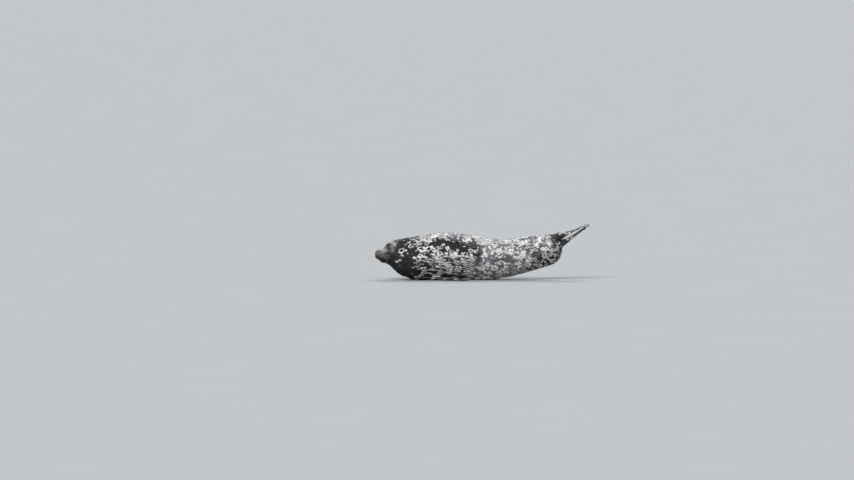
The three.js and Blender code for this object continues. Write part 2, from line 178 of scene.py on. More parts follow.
# %% [markdown]
# ## The spindle of the body
# A seal's body is one spindle of blubber. It can be sculpted, grown from metaballs or lofted through
# rings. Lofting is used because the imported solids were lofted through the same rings, so the skin lies
# exactly on them. Each ring has a place on the spine, a half width, a depth to the back and to the
# belly, and a roll: the trunk lies over on its side while the head stands almost upright.
# The shape is worked out in millimetres behind the nose and moved into the shared frame at the end.

# %% The rings
FRAME_MIDDLE = np.array([861.5, -2.0, 0.0])  # the shared frame's origin, measured from the nose
RING_COLUMNS = ("x", "spine_y", "spine_z", "half_width", "back", "belly", "roll")
RINGS = np.array([
    (0, -24, 205, 45, 44, 46, 10),
    (30, -20, 205, 51, 48, 53, 10),
    (60, -16, 204, 57, 51, 62, 10),
    (84, -13, 203, 65, 76, 68, 10),
    (108, -10, 202, 74, 100, 78, 10),
    (132, -7, 201, 83, 115, 93, 11),
    (174, -3, 197, 101, 131, 124, 15),
    (246, 0, 187, 135, 156, 164, 27),
    (330, 0, 181, 174, 168, 180, 43),
    (440, 0, 182, 197, 167, 166, 60),
    (560, 0, 185, 202, 165, 168, 65),
    (690, 0, 180, 197, 158, 163, 66),
    (824, 1, 173, 183, 150, 156, 66),
    (930, 2, 168, 169, 142, 148, 66),
    (1030, 3, 173, 159, 135, 139, 66),
    (1130, 3, 189, 152, 125, 128, 67),
    (1224, 2, 208, 147, 114, 117, 68),
    (1312, 0, 225, 138, 101, 105, 69),
    (1400, 0, 243, 126, 86, 92, 70),
    (1494, 0, 266, 108, 70, 78, 70),
], float)
NOSE_DOME = 50
RUMP_DOME = 96
RUMP_END = 1494
QUARTER = math.pi / 2
NOSE_ARC = NOSE_DOME * QUARTER
RUMP_ARC = RUMP_DOME * QUARTER
SPAN = NOSE_ARC + (RUMP_END - NOSE_DOME - RUMP_DOME) + RUMP_ARC  # the path over both domed ends


def in_frame(points):
    return (points - FRAME_MIDDLE) * MM


def curve_through(name):
    """A smooth curve through one column of the rings, with no overshoot between them."""
    xs, ys = RINGS[:, 0], RINGS[:, RING_COLUMNS.index(name)]
    steps = np.diff(ys) / np.diff(xs)
    before, after = np.append(steps[0], steps), np.append(steps, steps[-1])
    same_way = before * after > 0
    slopes = np.zeros(len(xs))
    slopes[same_way] = (2 * before * after)[same_way] / (before + after)[same_way]

    def value(x):
        i = np.clip(np.searchsorted(xs, x, side="right") - 1, 0, len(xs) - 2)
        width = xs[i + 1] - xs[i]
        t = np.clip((x - xs[i]) / width, 0, 1)
        leaving = ys[i] * (1 + 2 * t) * (1 - t) ** 2 + width * slopes[i] * t * (1 - t) ** 2
        arriving = ys[i + 1] * t * t * (3 - 2 * t) + width * slopes[i + 1] * t * t * (t - 1)
        return leaving + arriving

    return value


ring = {name: curve_through(name) for name in RING_COLUMNS[1:]}
print("body path", round(SPAN), "mm long over", len(RINGS), "rings")

# %% The swept surface
def station_at(s):
    """How far behind the nose a place on the path lies, and how far the domed ends have opened."""
    front = np.clip(s / NOSE_ARC, 0, 1) * QUARTER
    rear = np.clip((SPAN - s) / RUMP_ARC, 0, 1) * QUARTER
    x = np.where(s < NOSE_ARC, NOSE_DOME * (1 - np.cos(front)), s - NOSE_ARC + NOSE_DOME)
    x = np.where(s > SPAN - RUMP_ARC, RUMP_END - RUMP_DOME * (1 - np.cos(rear)), x)
    return x, np.sin(front) * np.sin(rear)


def path_of(x):
    return x + NOSE_ARC - NOSE_DOME


def spine(x):
    return np.stack([x, ring["spine_y"](x), ring["spine_z"](x)], -1)


def section_at(x):
    """The spine's place and its own backward, upward (to the back) and left directions."""
    tangent = unit(spine(x + 4.0) - spine(x - 4.0))
    lean = np.radians(ring["roll"](x))
    back = level_with(np.stack([0 * x, np.sin(lean), np.cos(lean)], -1), tangent)
    return spine(x), tangent, back, np.cross(tangent, back)


def depth_at(x, angle):
    return np.where(np.cos(angle) > 0, ring["back"](x), ring["belly"](x))


def swept_point(s, degrees, grow=0.0):
    """A point of the bare body. 0 degrees is the crown and back, 90 the left side, 180 the belly."""
    x, opened = station_at(s)
    centre, _, back, left = section_at(x)
    angle = np.radians(degrees)
    sideways = np.sin(angle) * (ring["half_width"](x) * opened + grow)
    upward = np.cos(angle) * (depth_at(x, angle) * opened + grow)
    return moved(centre, (sideways, left), (upward, back))


def swept_normal(s, degrees):
    along = swept_point(s + 1, degrees) - swept_point(s - 1, degrees)
    around = swept_point(s, degrees + 0.5) - swept_point(s, degrees - 0.5)
    return unit(np.cross(around, along))


print("half width at the shoulders:", float(ring["half_width"](560)), "mm")

# %% [markdown]
# ## The head
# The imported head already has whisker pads, brows, cheeks and a set-back jaw. The skin adds what makes it
# a face: lips, the groove under the nose, rows on the whisker pads, the openings of the ears (a harbor
# seal has no outer ears) and the furrow of the muzzle. They could be sculpted by hand, but as hills and
# furrows in the head's own directions they can be measured: f runs back from the nose, l to the left and
# d towards the crown.

# %% The head's relief
HEAD_HILLS = (
    # f, l, d, spread in f, l and d, height
    (28, 34, -8, 27, 22, 22, 8),  # whisker pad
    (99, 42, 82, 24, 20, 17, 6),  # brow
    (124, 78, -4, 40, 30, 36, 8),  # cheek
    (82, 50, 46, 16, 16, 15, -5),  # hollow in front of the eye
    (52, 0, -62, 24, 24, 18, 5),  # chin
)
HEAD_END = 190
JAW_SET_BACK = 9
MOUTH_END = 92
EAR = {"f": 156, "d": 34, "side": 30, "depth": 9}
_, HEAD_BACKWARD, HEAD_UP, HEAD_LEFT = section_at(np.array(70.0))
NOSE_TIP = spine(np.array(0.0))


def to_head(points):
    away = points - NOSE_TIP
    return dot(away, HEAD_BACKWARD), dot(away, HEAD_LEFT), dot(away, HEAD_UP)


def mouth_height(f):
    return mix(-31, -22, smoothstep(20, MOUTH_END, f))


def above_lips(f, d):
    """Height over the line where the lips meet, which turns down a little at its corner."""
    return d - mouth_height(f) + 2.5 * hill((f - MOUTH_END) / 14)


def from_ear(f, l, d):
    return np.where(np.abs(l) > EAR["side"], np.hypot(f - EAR["f"], 1.25 * (d - EAR["d"])), np.inf)


def head_relief(f, l, d):
    rise = sum(
        height * hill((f - hf) / sf, (np.abs(l) - hl) / sl, (d - hd) / sd)
        for hf, hl, hd, sf, sl, sd, height in HEAD_HILLS
    )
    jaw = smoothstep(2, -16, d - mouth_height(f)) * (1 - smoothstep(10, 74, f))
    return rise - JAW_SET_BACK * jaw


def face_details(f, l, d):
    side, lips, ear = np.abs(l), above_lips(f, d), from_ear(f, l, d)
    mouth = 1 - smoothstep(MOUTH_END - 12, MOUTH_END, f)
    rise = mouth * (1.6 * hill((lips - 7) / 5) + 1.2 * hill((lips + 6) / 4) - 5.0 * hill(lips / 1.9))
    front = (1 - smoothstep(8, 24, f)) * smoothstep(-34, -26, d) * (1 - smoothstep(8, 14, d))
    rise -= front * 1.7 * hill(l / 1.6)  # groove under the nose
    pad = hill((f - 30) / 22, (side - 38) / 20, (d + 6) / 17)
    rise += pad * (0.7 * np.cos(2 * np.pi * (d + 0.22 * f) / 6.5) - 0.4)  # rows of the whisker pad
    rise += 1.6 * hill((ear - 8) / 3.5) - EAR["depth"] * hill(ear / 3.4)
    rise -= 1.3 * hill((f - 62) / 9, (d - 40 - 0.4 * (f - 62)) / 3.0, (side - 30) / 20)  # muzzle furrow
    return rise


EYE = {"x": 102.0, "degrees": 56.0, "depth": 11.5, "radius": 18.5}
print("mouth:", round(float(mouth_height(0.0))), "mm from the nose's height, to", MOUTH_END, "mm back")

# %% [markdown]
# ## Folds of the trunk and the weight on the floor
# Blubber is smooth but never a perfect tube. Broad swellings show over the shoulder and the pelvis,
# narrow folds gather where the neck turns and where the ankles bend, and flesh that would pass the floor
# spreads on it. A cloth or soft body simulation could give the folds, but formulas keep them within a
# few millimetres, so that the outline is kept.

# %% The body's relief
FLOOR_SOFTNESS = 14
FLOOR_PRESS = 3.5
SWELLINGS = (
    # place behind the nose, its spread, degrees, their spread, height
    (455, 80, 62, 26, 4.0),  # shoulder
    (1360, 60, 112, 26, 3.5),  # hip
    (400, 45, 88, 16, -3.5),  # hollow before the flipper
)
FOLDS = (
    # place behind the nose, length over which folds show, spacing, lean, depth, angle round the body
    (238, 66, 33, 0.35, 2.6, 60),
    (262, 60, 41, -0.3, 2.2, 190),
    (372, 70, 52, 0.2, 1.6, 150),
    (1350, 80, 38, 0.3, 2.0, 120),
)


def angle_gap(degrees, place):
    return np.abs((degrees - place + 180) % 360 - 180)


def add_patches(values, patches, x, degrees):
    """Adds what each patch changes, fading with the distance from its middle."""
    for place, length, angle, width, *changes in patches:
        near = hill((x - place) / length, angle_gap(degrees, angle) / width)
        values = values + np.multiply.outer(changes, near)
    return values


def trunk_relief(points, x, degrees):
    """Swellings and folds, in millimetres. A fold is a narrow furrow between two wider rolls."""
    rise = 1.3 * ripples(points, 190, 3) + 0.5 * ripples(points, 60, 4)
    rise *= smoothstep(150, 300, x)
    rise = add_patches(rise[None], SWELLINGS, x, degrees)[0]
    for place, length, spacing, lean, depth, side in FOLDS:
        wander = 7 * ripples(points, 90, int(place))
        phase = (x - place + lean * angle_gap(degrees, side) + wander) / spacing
        furrow = hill((phase - np.round(phase)) / 0.13) - 0.35
        rise -= depth * furrow * hill((x - place) / length, angle_gap(degrees, side) / 62)
    return rise


def press_on_floor(points):
    z = points[..., 2]
    below = np.clip((FLOOR_SOFTNESS - z) / FLOOR_SOFTNESS, 0, None)
    pressed = FLOOR_SOFTNESS * (1 - np.tanh(below)) - FLOOR_PRESS
    points[..., 2] = np.maximum(np.where(z < FLOOR_SOFTNESS, pressed, z), 0.0)
    return points


def body_point(s, degrees, inset=0.0, detailed=True):
    """A point of the body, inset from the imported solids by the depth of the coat."""
    points = swept_point(s, degrees, -inset)
    x, _ = station_at(s)
    head = to_head(points)
    rise = np.where(x < HEAD_END, head_relief(*head), 0)
    if detailed:
        rise = rise + np.where(x < HEAD_END, face_details(*head), 0) + trunk_relief(points, x, degrees)
    return press_on_floor(moved(points, (rise, swept_normal(s, degrees))))


print("swellings:", len(SWELLINGS), "folds:", len(FOLDS))

# %% [markdown]
# ## Eyes set in lids
# A seal's eye is a large ball that sits deep, and only an almond of it shows. The ball's place comes
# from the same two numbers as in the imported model. The skin is lifted over the ball to make the lids,
# and inside the almond it dips behind the ball, so the ball is really wrapped and not just stuck on.

# %% Where each eye sits
LID = {"thickness": 1.5, "length": 14.2, "upper": 10.4, "lower": 8.8, "slant": 15.0}
ALMOND = 1.7  # how pointed the opening is: 2 would be an oval


def eye_place(side):
    """The ball's centre and the directions outward, along the lids (backward) and up."""
    s = np.array(path_of(EYE["x"]))
    degrees = np.array(EYE["degrees"] if side == "left" else 360 - EYE["degrees"])
    outward = swept_normal(s, degrees)
    centre = body_point(s, degrees, detailed=False) - EYE["depth"] * outward
    backward = level_with(HEAD_BACKWARD, outward)
    up = np.cross(outward, backward)
    up = up * np.sign(dot(up, HEAD_UP))
    slant = math.radians(LID["slant"])
    along = math.cos(slant) * backward + math.sin(slant) * up
    up = math.cos(slant) * up - math.sin(slant) * backward
    return centre, outward, along, up


EYES = {side: eye_place(side) for side in ("left", "right")}


def outside_lids(a, b):
    """Roughly how far outside the almond a place is, in millimetres; negative inside."""
    height = np.where(b > 0, LID["upper"], LID["lower"])
    return (np.sqrt((a / LID["length"]) ** 2 + (np.abs(b) / height) ** ALMOND) - 1) * 10


def seat_lids(points, side):
    centre, outward, along, up = EYES[side]
    away = points - centre
    reach = np.linalg.norm(away, axis=-1)
    b = dot(away, up)
    outside = outside_lids(dot(away, along), b)
    lid = EYE["radius"] + LID["thickness"]
    lifted = 0.5 * (reach + lid + np.sqrt((reach - lid) ** 2 + 9.0))
    lifted = mix(lifted, reach, smoothstep(26, 38, reach))
    crease = 1.6 * hill((outside - 7.5) / 2.2) * smoothstep(-4, 6, b)  # over the upper lid
    wanted = mix(EYE["radius"] - 4.0, lifted - crease, smoothstep(-0.6, 0.6, outside))
    near = (reach < 40) & (dot(away, outward) > -4)
    return moved(centre, (np.where(near, wanted / np.maximum(reach, 1e-6), 1.0), away))


print("left eye at", np.round(in_frame(EYES["left"][0]), 3), "m")

# %% [markdown]
# ## The flippers
# A fore flipper is a hand and a hind flipper is a foot: five digits joined by webs, thick at the root
# and thin at the free end. They could be sculpted in place. Here one function gives a point of the flat
# blade from how far along and across it is, and a second bends the blade into its place on the animal,
# so that all four flippers share one shape.

# %% The flipper blades
DIGITS = 5
WEB_NOTCH = 0.035
FLIPPERS = {
    "fore": {"length": 300, "root_width": 84, "width": 112, "root": 60, "tip": 9, "thins": (-0.1, 0.62)},
    "hind": {"length": 330, "root_width": 92, "width": 152, "root": 80, "tip": 7, "thins": (0.2, 0.84)},
}


def on_digit(across):
    """1 on the ridge of a digit, 0 on the web between two."""
    phase = (np.clip(across, -0.999, 0.999) + 1) / 2
    return 0.5 - 0.5 * np.cos(2 * np.pi * DIGITS * phase)


def blade_reach(kind, across):
    if kind == "fore":
        outline = 1 - 0.27 * smoothstep(0.5, -1, across) - 0.05 * smoothstep(0.7, 1, across)
    else:
        outline = 0.8 + 0.2 * np.abs(across) ** 1.3 - 0.05 * smoothstep(0.8, 1, np.abs(across))
    notch = np.where(np.abs(across) < 0.8, WEB_NOTCH * (1 - on_digit(across)), 0)
    return FLIPPERS[kind]["length"] * (outline - notch)


def blade_half_width(kind, u):
    size = FLIPPERS[kind]
    return mix(size["root_width"], size["width"], smoothstep(0.1, 0.75, u)) / 2


def blade_half_depth(kind, u, across):
    size = FLIPPERS[kind]
    thinned = smoothstep(*size["thins"], u) ** 0.8
    ridge = 1 - 0.4 * smoothstep(0.25, 0.7, u) * (1 - on_digit(across))
    edge = np.sqrt(np.clip(1 - np.abs(across) ** mix(2, 3, smoothstep(0.2, 0.6, u)), 0, 1))
    return mix(size["root"], size["tip"], thinned) / 2 * ridge * edge


def knuckles(u, across):
    """Low swellings over the joints of each digit, and sunken webs between the digits."""
    joints = sum(hill((u - place) / 0.045) for place in (0.46, 0.64, 0.8))
    webs = smoothstep(0.3, 0.6, u) * (1 - on_digit(across))
    return 1.5 * joints * on_digit(across) ** 3 - 0.9 * webs


print("digits on each flipper:", DIGITS)

# %% Where each flipper lies
UPPER_FORE = {"x": 530, "degrees": 90, "slant": 16, "radius": 186, "spread": 1.15}
LOWER_FORE = {"x": 462, "y": -48, "z": 12.5, "turn": -14, "tilt": 5}
HIND_PATHS = {
    # three points of a bent path, the lean of the blade, and which face is the upper one
    "left": ((1380, -4, 318), (1545, -14, 368), (1688, -30, 444), 90, 1),
    "right": ((1376, 0, 226), (1545, 8, 309), (1727, 20, 449), 100, -1),
}


def on_flank(along, across, up):
    """The upper fore flipper, folded back over the flank with its leading edge towards the belly."""
    slant = math.radians(UPPER_FORE["slant"])
    spread = across * UPPER_FORE["spread"]
    s = path_of(UPPER_FORE["x"] + along * math.cos(slant) - spread * math.sin(slant))
    around = along * math.sin(slant) + spread * math.cos(slant)
    degrees = UPPER_FORE["degrees"] + np.degrees(around / UPPER_FORE["radius"])
    leading_edge = smoothstep(0, 60, across) * smoothstep(60, 160, along)
    lift = mix(-27, 7, smoothstep(0, 140, along)) + 5 * leading_edge
    return moved(swept_point(s, degrees), (lift + up, swept_normal(s, degrees)))


def on_floor(along, across, up):
    """The lower fore flipper, tucked under the chest."""
    turn, tilt = math.radians(LOWER_FORE["turn"]), math.radians(LOWER_FORE["tilt"])
    side = -across * math.cos(tilt)
    rise = mix(14, 0, smoothstep(0, 120, along)) - mix(0, 5.5, smoothstep(150, 290, along))
    return np.stack([
        LOWER_FORE["x"] + along * math.cos(turn) - side * math.sin(turn),
        LOWER_FORE["y"] + along * math.sin(turn) + side * math.cos(turn),
        LOWER_FORE["z"] + rise + up - across * math.sin(tilt) * 0.4,
    ], -1)


def on_hind_path(side):
    *path, lean, top = HIND_PATHS[side]
    start, bend, end = np.array(path, float)
    lean = math.radians(lean)
    blade = np.array([0, math.sin(lean), math.cos(lean)])

    def place(along, across, up):
        t = along / FLIPPERS["hind"]["length"]
        k = np.clip(t, 0, 1)[..., None]
        point = (1 - k) ** 2 * start + 2 * (1 - k) * k * bend + k * k * end
        forward = unit((1 - k) * (bend - start) + k * (end - bend))
        sideways = level_with(blade, forward)
        cup = -0.0009 * top * across * across * smoothstep(0.3, 1, t)
        splay = 1 + 0.16 * smoothstep(0.5, 1, t)
        beyond = np.maximum(0, along - FLIPPERS["hind"]["length"])
        steps = (beyond, forward), (across * splay, sideways), (up + cup, np.cross(forward, sideways))
        return moved(point, *steps)

    return place


LIMBS = {
    # kind, the function that puts it in its place, and which face is the upper one
    "fore_left": ("fore", on_flank, 1),
    "fore_right": ("fore", on_floor, 1),
}
LIMBS |= {f"hind_{side}": ("hind", on_hind_path(side), path[-1]) for side, path in HIND_PATHS.items()}
print("limbs:", ", ".join(LIMBS))

# %% [markdown]
# ## Meshes from rings of points
# Body, flippers, tail, claws and whiskers are all built the same way: rings of points joined by bands of
# quads and closed at both ends. Blender can bridge edge loops, but one helper that does this for any
# grid of rings is faster and gives the same mesh each time.

# %% Mesh helpers
def grid(*axes):
    """Every combination of the values on two axes, as one array for each axis."""
    return np.meshgrid(*axes, indexing="ij")


def ring_faces(count, size):
    """Quads between `count` rings of `size` points each, as an array of corners."""
    i = np.arange(count - 1)[:, None] * size
    j = np.arange(size)[None, :]
    k = (j + 1) % size
    return np.stack([i + j, i + size + j, i + size + k, i + k], -1).reshape(-1, 4)


def closed_loft(rings, first=None, last=None):
    """Points and faces of a skin through the rings, with a fan of triangles to a tip at each end."""
    count, size = rings.shape[:2]
    first = rings[0].mean(0) if first is None else first
    last = rings[-1].mean(0) if last is None else last
    points = np.concatenate([rings.reshape(-1, 3), [first], [last]])
    j = np.arange(size)
    k = (j + 1) % size
    base = (count - 1) * size
    fan_a = np.stack([np.full(size, count * size), j, k], -1)
    fan_b = np.stack([np.full(size, count * size + 1), base + k, base + j], -1)
    return points, [ring_faces(count, size), fan_a, fan_b]


def new_mesh(name, points, face_sets):
    """A smooth mesh object from points and arrays of faces, filled in one go because it is fast."""
    mesh = bpy.data.meshes.new(name)
    corners = np.concatenate([faces.ravel() for faces in face_sets]).astype(np.int32)
    sizes = np.concatenate([np.full(len(faces), faces.shape[1]) for faces in face_sets])
    starts = np.concatenate([[0], np.cumsum(sizes)[:-1]]).astype(np.int32)
    mesh.vertices.add(len(points))
    mesh.vertices.foreach_set("co", np.ascontiguousarray(points, np.float32).ravel())
    mesh.loops.add(len(corners))
    mesh.loops.foreach_set("vertex_index", corners)
    mesh.polygons.add(len(sizes))
    mesh.polygons.foreach_set("loop_start", starts)
    mesh.polygons.foreach_set("use_smooth", np.full(len(sizes), True))
    mesh.update(calc_edges=True)
    mesh.validate()
    return put_in_scene(name, mesh)


def mesh_arrays(mesh):
    """Points and triangles of a mesh as arrays."""
    points = np.empty(len(mesh.vertices) * 3, np.float32)
    mesh.vertices.foreach_get("co", points)
    mesh.calc_loop_triangles()
    triangles = np.empty(len(mesh.loop_triangles) * 3, np.int32)
    mesh.loop_triangles.foreach_get("vertices", triangles)
    return points.reshape(-1, 3).astype(float), triangles.reshape(-1, 3)


def mesh_volume(mesh):
    points, triangles = mesh_arrays(mesh)
    a, b, c = (points[triangles[:, k]] for k in range(3))
    return float(dot(a, np.cross(b, c)).sum() / 6)


def face_outward(made):
    """Turns all faces over if the closed mesh has them pointing in."""
    if mesh_volume(made.data) < 0:
        made.data.flip_normals()
    return made


def loft(name, rings, *tips):
    """A closed piece through rings given in millimetres behind the nose."""
    points, faces = closed_loft(rings, *tips)
    return face_outward(new_mesh(name, in_frame(points), faces))


def set_vectors(mesh, name, values):
    """Stores one vector for each point, for materials to read."""
    layer = mesh.attributes.new(name, "FLOAT_VECTOR", "POINT")
    layer.data.foreach_set("vector", np.ascontiguousarray(values, np.float32).ravel())


print("faces of a closed loft through 3 rings of 8:", sum(map(len, closed_loft(np.zeros((3, 8, 3)))[1])))

# %% [markdown]
# ## The bare body
# The grid of the body is packed where the face needs it: rings close together round the eyes and
# columns close together at the lids and lips. A coarse grid everywhere would lose the lids, and a fine
# one everywhere would be too heavy.

# %% Lofting the body
COAT_DEPTH = {"face": 1.0, "trunk": 2.2, "flipper": 1.0}
COLUMNS = 240
LIP_DEGREES = 122
FINE_STEPS = 6000


def places_by(spacing, start, end, count=None):
    """Places from start to end whose gaps follow the wanted spacing at each of them."""
    fine = np.linspace(start, end, FINE_STEPS)
    total = np.concatenate([[0], np.cumsum((end - start) / (FINE_STEPS - 1) / spacing(fine)[1:])])
    count = count or int(round(total[-1]))
    return np.interp(np.linspace(0, total[-1], count + 1), total, fine)


def column_gap(degrees):
    packed = np.ones_like(degrees)
    for centre, spread, gain in ((EYE["degrees"], 15, 2.6), (LIP_DEGREES, 9, 1.2)):
        packed += gain * (hill((degrees - centre) / spread) + hill((degrees - 360 + centre) / spread))
    return 1 / packed


def ring_gap(s):
    gap = mix(1.9, 9.0, smoothstep(175, 420, s))
    gap *= 1 - 0.42 * hill((s - path_of(EYE["x"])) / 17)
    return np.minimum(gap, mix(5, 9, smoothstep(20, 160, SPAN - s)))


def coat_depth(s):
    return mix(COAT_DEPTH["face"], COAT_DEPTH["trunk"], smoothstep(150, 320, s))


def loft_body():
    s, degrees = grid(places_by(ring_gap, 1.5, SPAN - 3), places_by(column_gap, 0, 360, COLUMNS)[:-1])
    rings = body_point(s, degrees, coat_depth(s))
    for side in EYES:
        rings = seat_lids(rings, side)
    return loft("body", rings, *body_point(np.array([0.01, SPAN - 0.01]), np.zeros(2), 1.0))


body = loft_body()
print("body:", len(body.data.polygons), "faces")

# %% Lofting the flippers and the tail
BLADE_STEPS = 44
BLADE_HALF = 40
BLADE_LENGTH = 315  # about that of every flipper
TAIL = {"root_x": 1380, "length": 192, "width": 74, "depth": 46, "back": 54, "rise": 26}


def blade_point(name, u, across, side, inset=0.0):
    """A point on the blade's upper (side 1) or lower (side -1) face, u along and `across` over it."""
    kind, place, top = LIMBS[name]
    rounded = np.sqrt(1 - 0.93 * smoothstep(0.93, 1.0, u))
    depth = np.maximum(blade_half_depth(kind, u, across) * rounded - inset, 0.4)
    depth = depth + knuckles(u, across) * (side == top) * np.minimum(1, depth / 3)
    reach, half_width = blade_reach(kind, across) - inset, blade_half_width(kind, u) - inset
    return place(u * reach, across * half_width, side * depth)


def loft_blade(name):
    across = -np.cos(np.linspace(0, np.pi, BLADE_HALF + 1))
    across = mix(across, np.linspace(-1, 1, BLADE_HALF + 1), 0.6)
    around = np.concatenate([across, across[-2:0:-1]])
    sides = np.concatenate([np.full(BLADE_HALF + 1, 1.0), np.full(BLADE_HALF - 1, -1.0)])
    u, around = grid(np.linspace(0, 1, BLADE_STEPS + 1) ** 0.9, around)
    side = np.broadcast_to(sides, u.shape)
    rings = blade_point(name, u, around, side, COAT_DEPTH["flipper"])
    rings[..., 2] = np.maximum(rings[..., 2], 0.2)
    keys = np.stack([u, around, side], -1).reshape(-1, 3)
    return loft(name, rings), np.concatenate([keys, [keys[0]], [keys[-1]]])


def loft_tail():
    centre, *axes = section_at(np.array(float(TAIL["root_x"])))
    t, angle = np.linspace(0, 1, 25)[:, None], around_circle(40)[None, :]
    taper = np.sqrt(1 - (0.98 * t) ** 3)
    half_depth = TAIL["depth"] / 2 * taper * mix(1, 0.55, t) - 1
    half_width = TAIL["width"] / 2 * taper - 1
    forward = TAIL["length"] * t + 0 * angle
    upward = TAIL["back"] - 8 * t + np.cos(angle) * half_depth
    sideways = TAIL["rise"] * t + np.sin(angle) * half_width
    return loft("tail_blade", centre + moved(0, *zip((forward, upward, sideways), axes)))


blades = {name: loft_blade(name) for name in LIMBS}
tail_blade = loft_tail()
print("blades:", {name: len(made.data.polygons) for name, (made, _) in blades.items()})

# %% [markdown]
# ## One skin
# The body, the flippers and the tail are joined by a Boolean into one closed skin. A Boolean alone
# leaves a hard crease where two shapes cross, which no living limb has. So the points near each crossing
# are then relaxed towards their neighbours: widely at the root of a limb, which makes the arm and the
# ankle grow out of the body, and hardly at all along a blade that only lies against the flank.

# %% Joining the shapes
def join_shapes(base, others):
    for other in others:
        joint = base.modifiers.new(other.name, "BOOLEAN")
        joint.operation, joint.solver, joint.object = "UNION", "MANIFOLD", other
    bpy.context.view_layer.update()
    evaluated = base.evaluated_get(bpy.context.evaluated_depsgraph_get())
    mesh = bpy.data.meshes.new_from_object(evaluated)
    for shape in (base, *others):
        bpy.data.objects.remove(shape)
    return put_in_scene("skin", mesh)


parts = {"body": mesh_arrays(body.data)[0], "tail": mesh_arrays(tail_blade.data)[0]}
parts |= {name: mesh_arrays(made.data)[0] for name, (made, _) in blades.items()}
PART_NAMES = list(parts)
blade_keys = {name: keys for name, (_, keys) in blades.items()}
skin = join_shapes(body, [made for made, _ in blades.values()] + [tail_blade])
print("skin:", len(skin.data.vertices), "points,", round(mesh_volume(skin.data) * 1000, 1), "litres")

# %% Relaxing the crossings
RELAX_ROUNDS = 36
RELAX_PACE = 0.62
WIDEST_RELAX = 0.045  # metres
ON_FLOOR = 0.0006  # points below this height stay where they are
SPREAD_OF_ROOTS = {
    # how far a crossing is relaxed at the root and further out, and from where to where it shrinks
    "hind": (42, 16, 90, 200),
    "fore_left": (34, 5, 60, 135),
    "fore_right": (24, 4, 30, 90),
}


def nearest_in(cloud, points):
    """For each point, the index of the nearest one in the cloud."""
    tree = KDTree(len(cloud))
    for i, place in enumerate(cloud):
        tree.insert(place, i)
    tree.balance()
    return np.array([tree.find(place)[1] for place in points])


def numbers_of(*names):
    return [PART_NAMES.index(name) for name in names]


def part_of_each(points):
    """Which shape each point of the skin came from, and for a blade its place on the blade."""
    owner = np.concatenate([np.full(len(p), i) for i, p in enumerate(parts.values())])
    keys = np.concatenate([blade_keys.get(name, np.zeros((len(p), 3))) for name, p in parts.items()])
    nearest = nearest_in(np.concatenate(list(parts.values())), points)
    return owner[nearest], keys[nearest]


def relax(points, edges, weight, rounds):
    """Moves each point towards the mean of its neighbours, by its own weight, again and again."""
    a, b = edges.T
    neighbours = np.bincount(edges.ravel(), minlength=len(points)).astype(float)
    for _ in range(rounds):
        total = np.stack([
            np.bincount(a, points[b, k], len(points)) + np.bincount(b, points[a, k], len(points))
            for k in range(3)
        ], -1)
        points = points + weight[:, None] * (total / neighbours[:, None] - points)
    return points


def crossing_weight(points, edges, owner, keys):
    """1 where two shapes cross, fading over a distance that shrinks from a limb's root to its tip."""
    crossing = np.unique(edges[owner[edges[:, 0]] != owner[edges[:, 1]]])
    along = keys[crossing, 0] * BLADE_LENGTH
    reach_of = {
        name: mix(root, end, smoothstep(start, stop, along))
        for name, (root, end, start, stop) in SPREAD_OF_ROOTS.items()
    }
    is_hind = np.isin(owner[crossing], numbers_of("hind_left", "hind_right", "tail"))
    is_low = np.isin(owner[crossing], numbers_of("fore_right"))
    reach = np.where(is_hind, reach_of["hind"], reach_of["fore_left"])
    reach = np.where(is_low, reach_of["fore_right"], reach) * MM
    on_body = owner[crossing] == 0
    reach[on_body] = reach[~on_body][nearest_in(points[crossing[~on_body]], points[crossing[on_body]])]
    weight = np.zeros(len(points))
    low, high = points[crossing].min(0) - WIDEST_RELAX, points[crossing].max(0) + WIDEST_RELAX
    near = np.flatnonzero(np.all((points > low) & (points < high), axis=1))
    for chunk in np.array_split(near, max(1, len(near) // 1500)):
        gaps = np.linalg.norm(points[chunk][:, None] - points[crossing][None], axis=-1)
        weight[chunk] = np.clip(1 - gaps / reach[None], 0, 1).max(1)
    return np.sqrt(weight)


def relax_crossings(skin):
    points, _ = mesh_arrays(skin.data)
    edges = np.empty(len(skin.data.edges) * 2, np.int32)
    skin.data.edges.foreach_get("vertices", edges)
    edges = edges.reshape(-1, 2)
    owner, keys = part_of_each(points)
    weight = crossing_weight(points, edges, owner, keys)
    relaxed = relax(points, edges, RELAX_PACE * weight, RELAX_ROUNDS)
    relaxed[:, 2] = np.where(points[:, 2] < ON_FLOOR, points[:, 2], np.maximum(relaxed[:, 2], 0))
    skin.data.vertices.foreach_set("co", relaxed.astype(np.float32).ravel())
    skin.data.polygons.foreach_set("use_smooth", np.ones(len(skin.data.polygons), bool))
    skin.data.update()
    return relaxed, edges, owner, keys


skin_points, skin_edges, skin_owner, skin_keys = relax_crossings(skin)
print("points by shape:", dict(zip(PART_NAMES, np.bincount(skin_owner, minlength=len(PART_NAMES)))))

# %% [markdown]
# ## What every point of the skin knows
# The markings and the lie of the hair follow the body and not the world, so each point of the skin
# stores a few facts: where it is, how far along and around the body it lies, which way its hair runs,
# and how dark, ringed or streaked its region is. They could be painted as vertex colours by hand, but
# tables of soft patches can be read and changed. The coat later copies the facts from the skin beneath
# it, and so both carry the same markings.

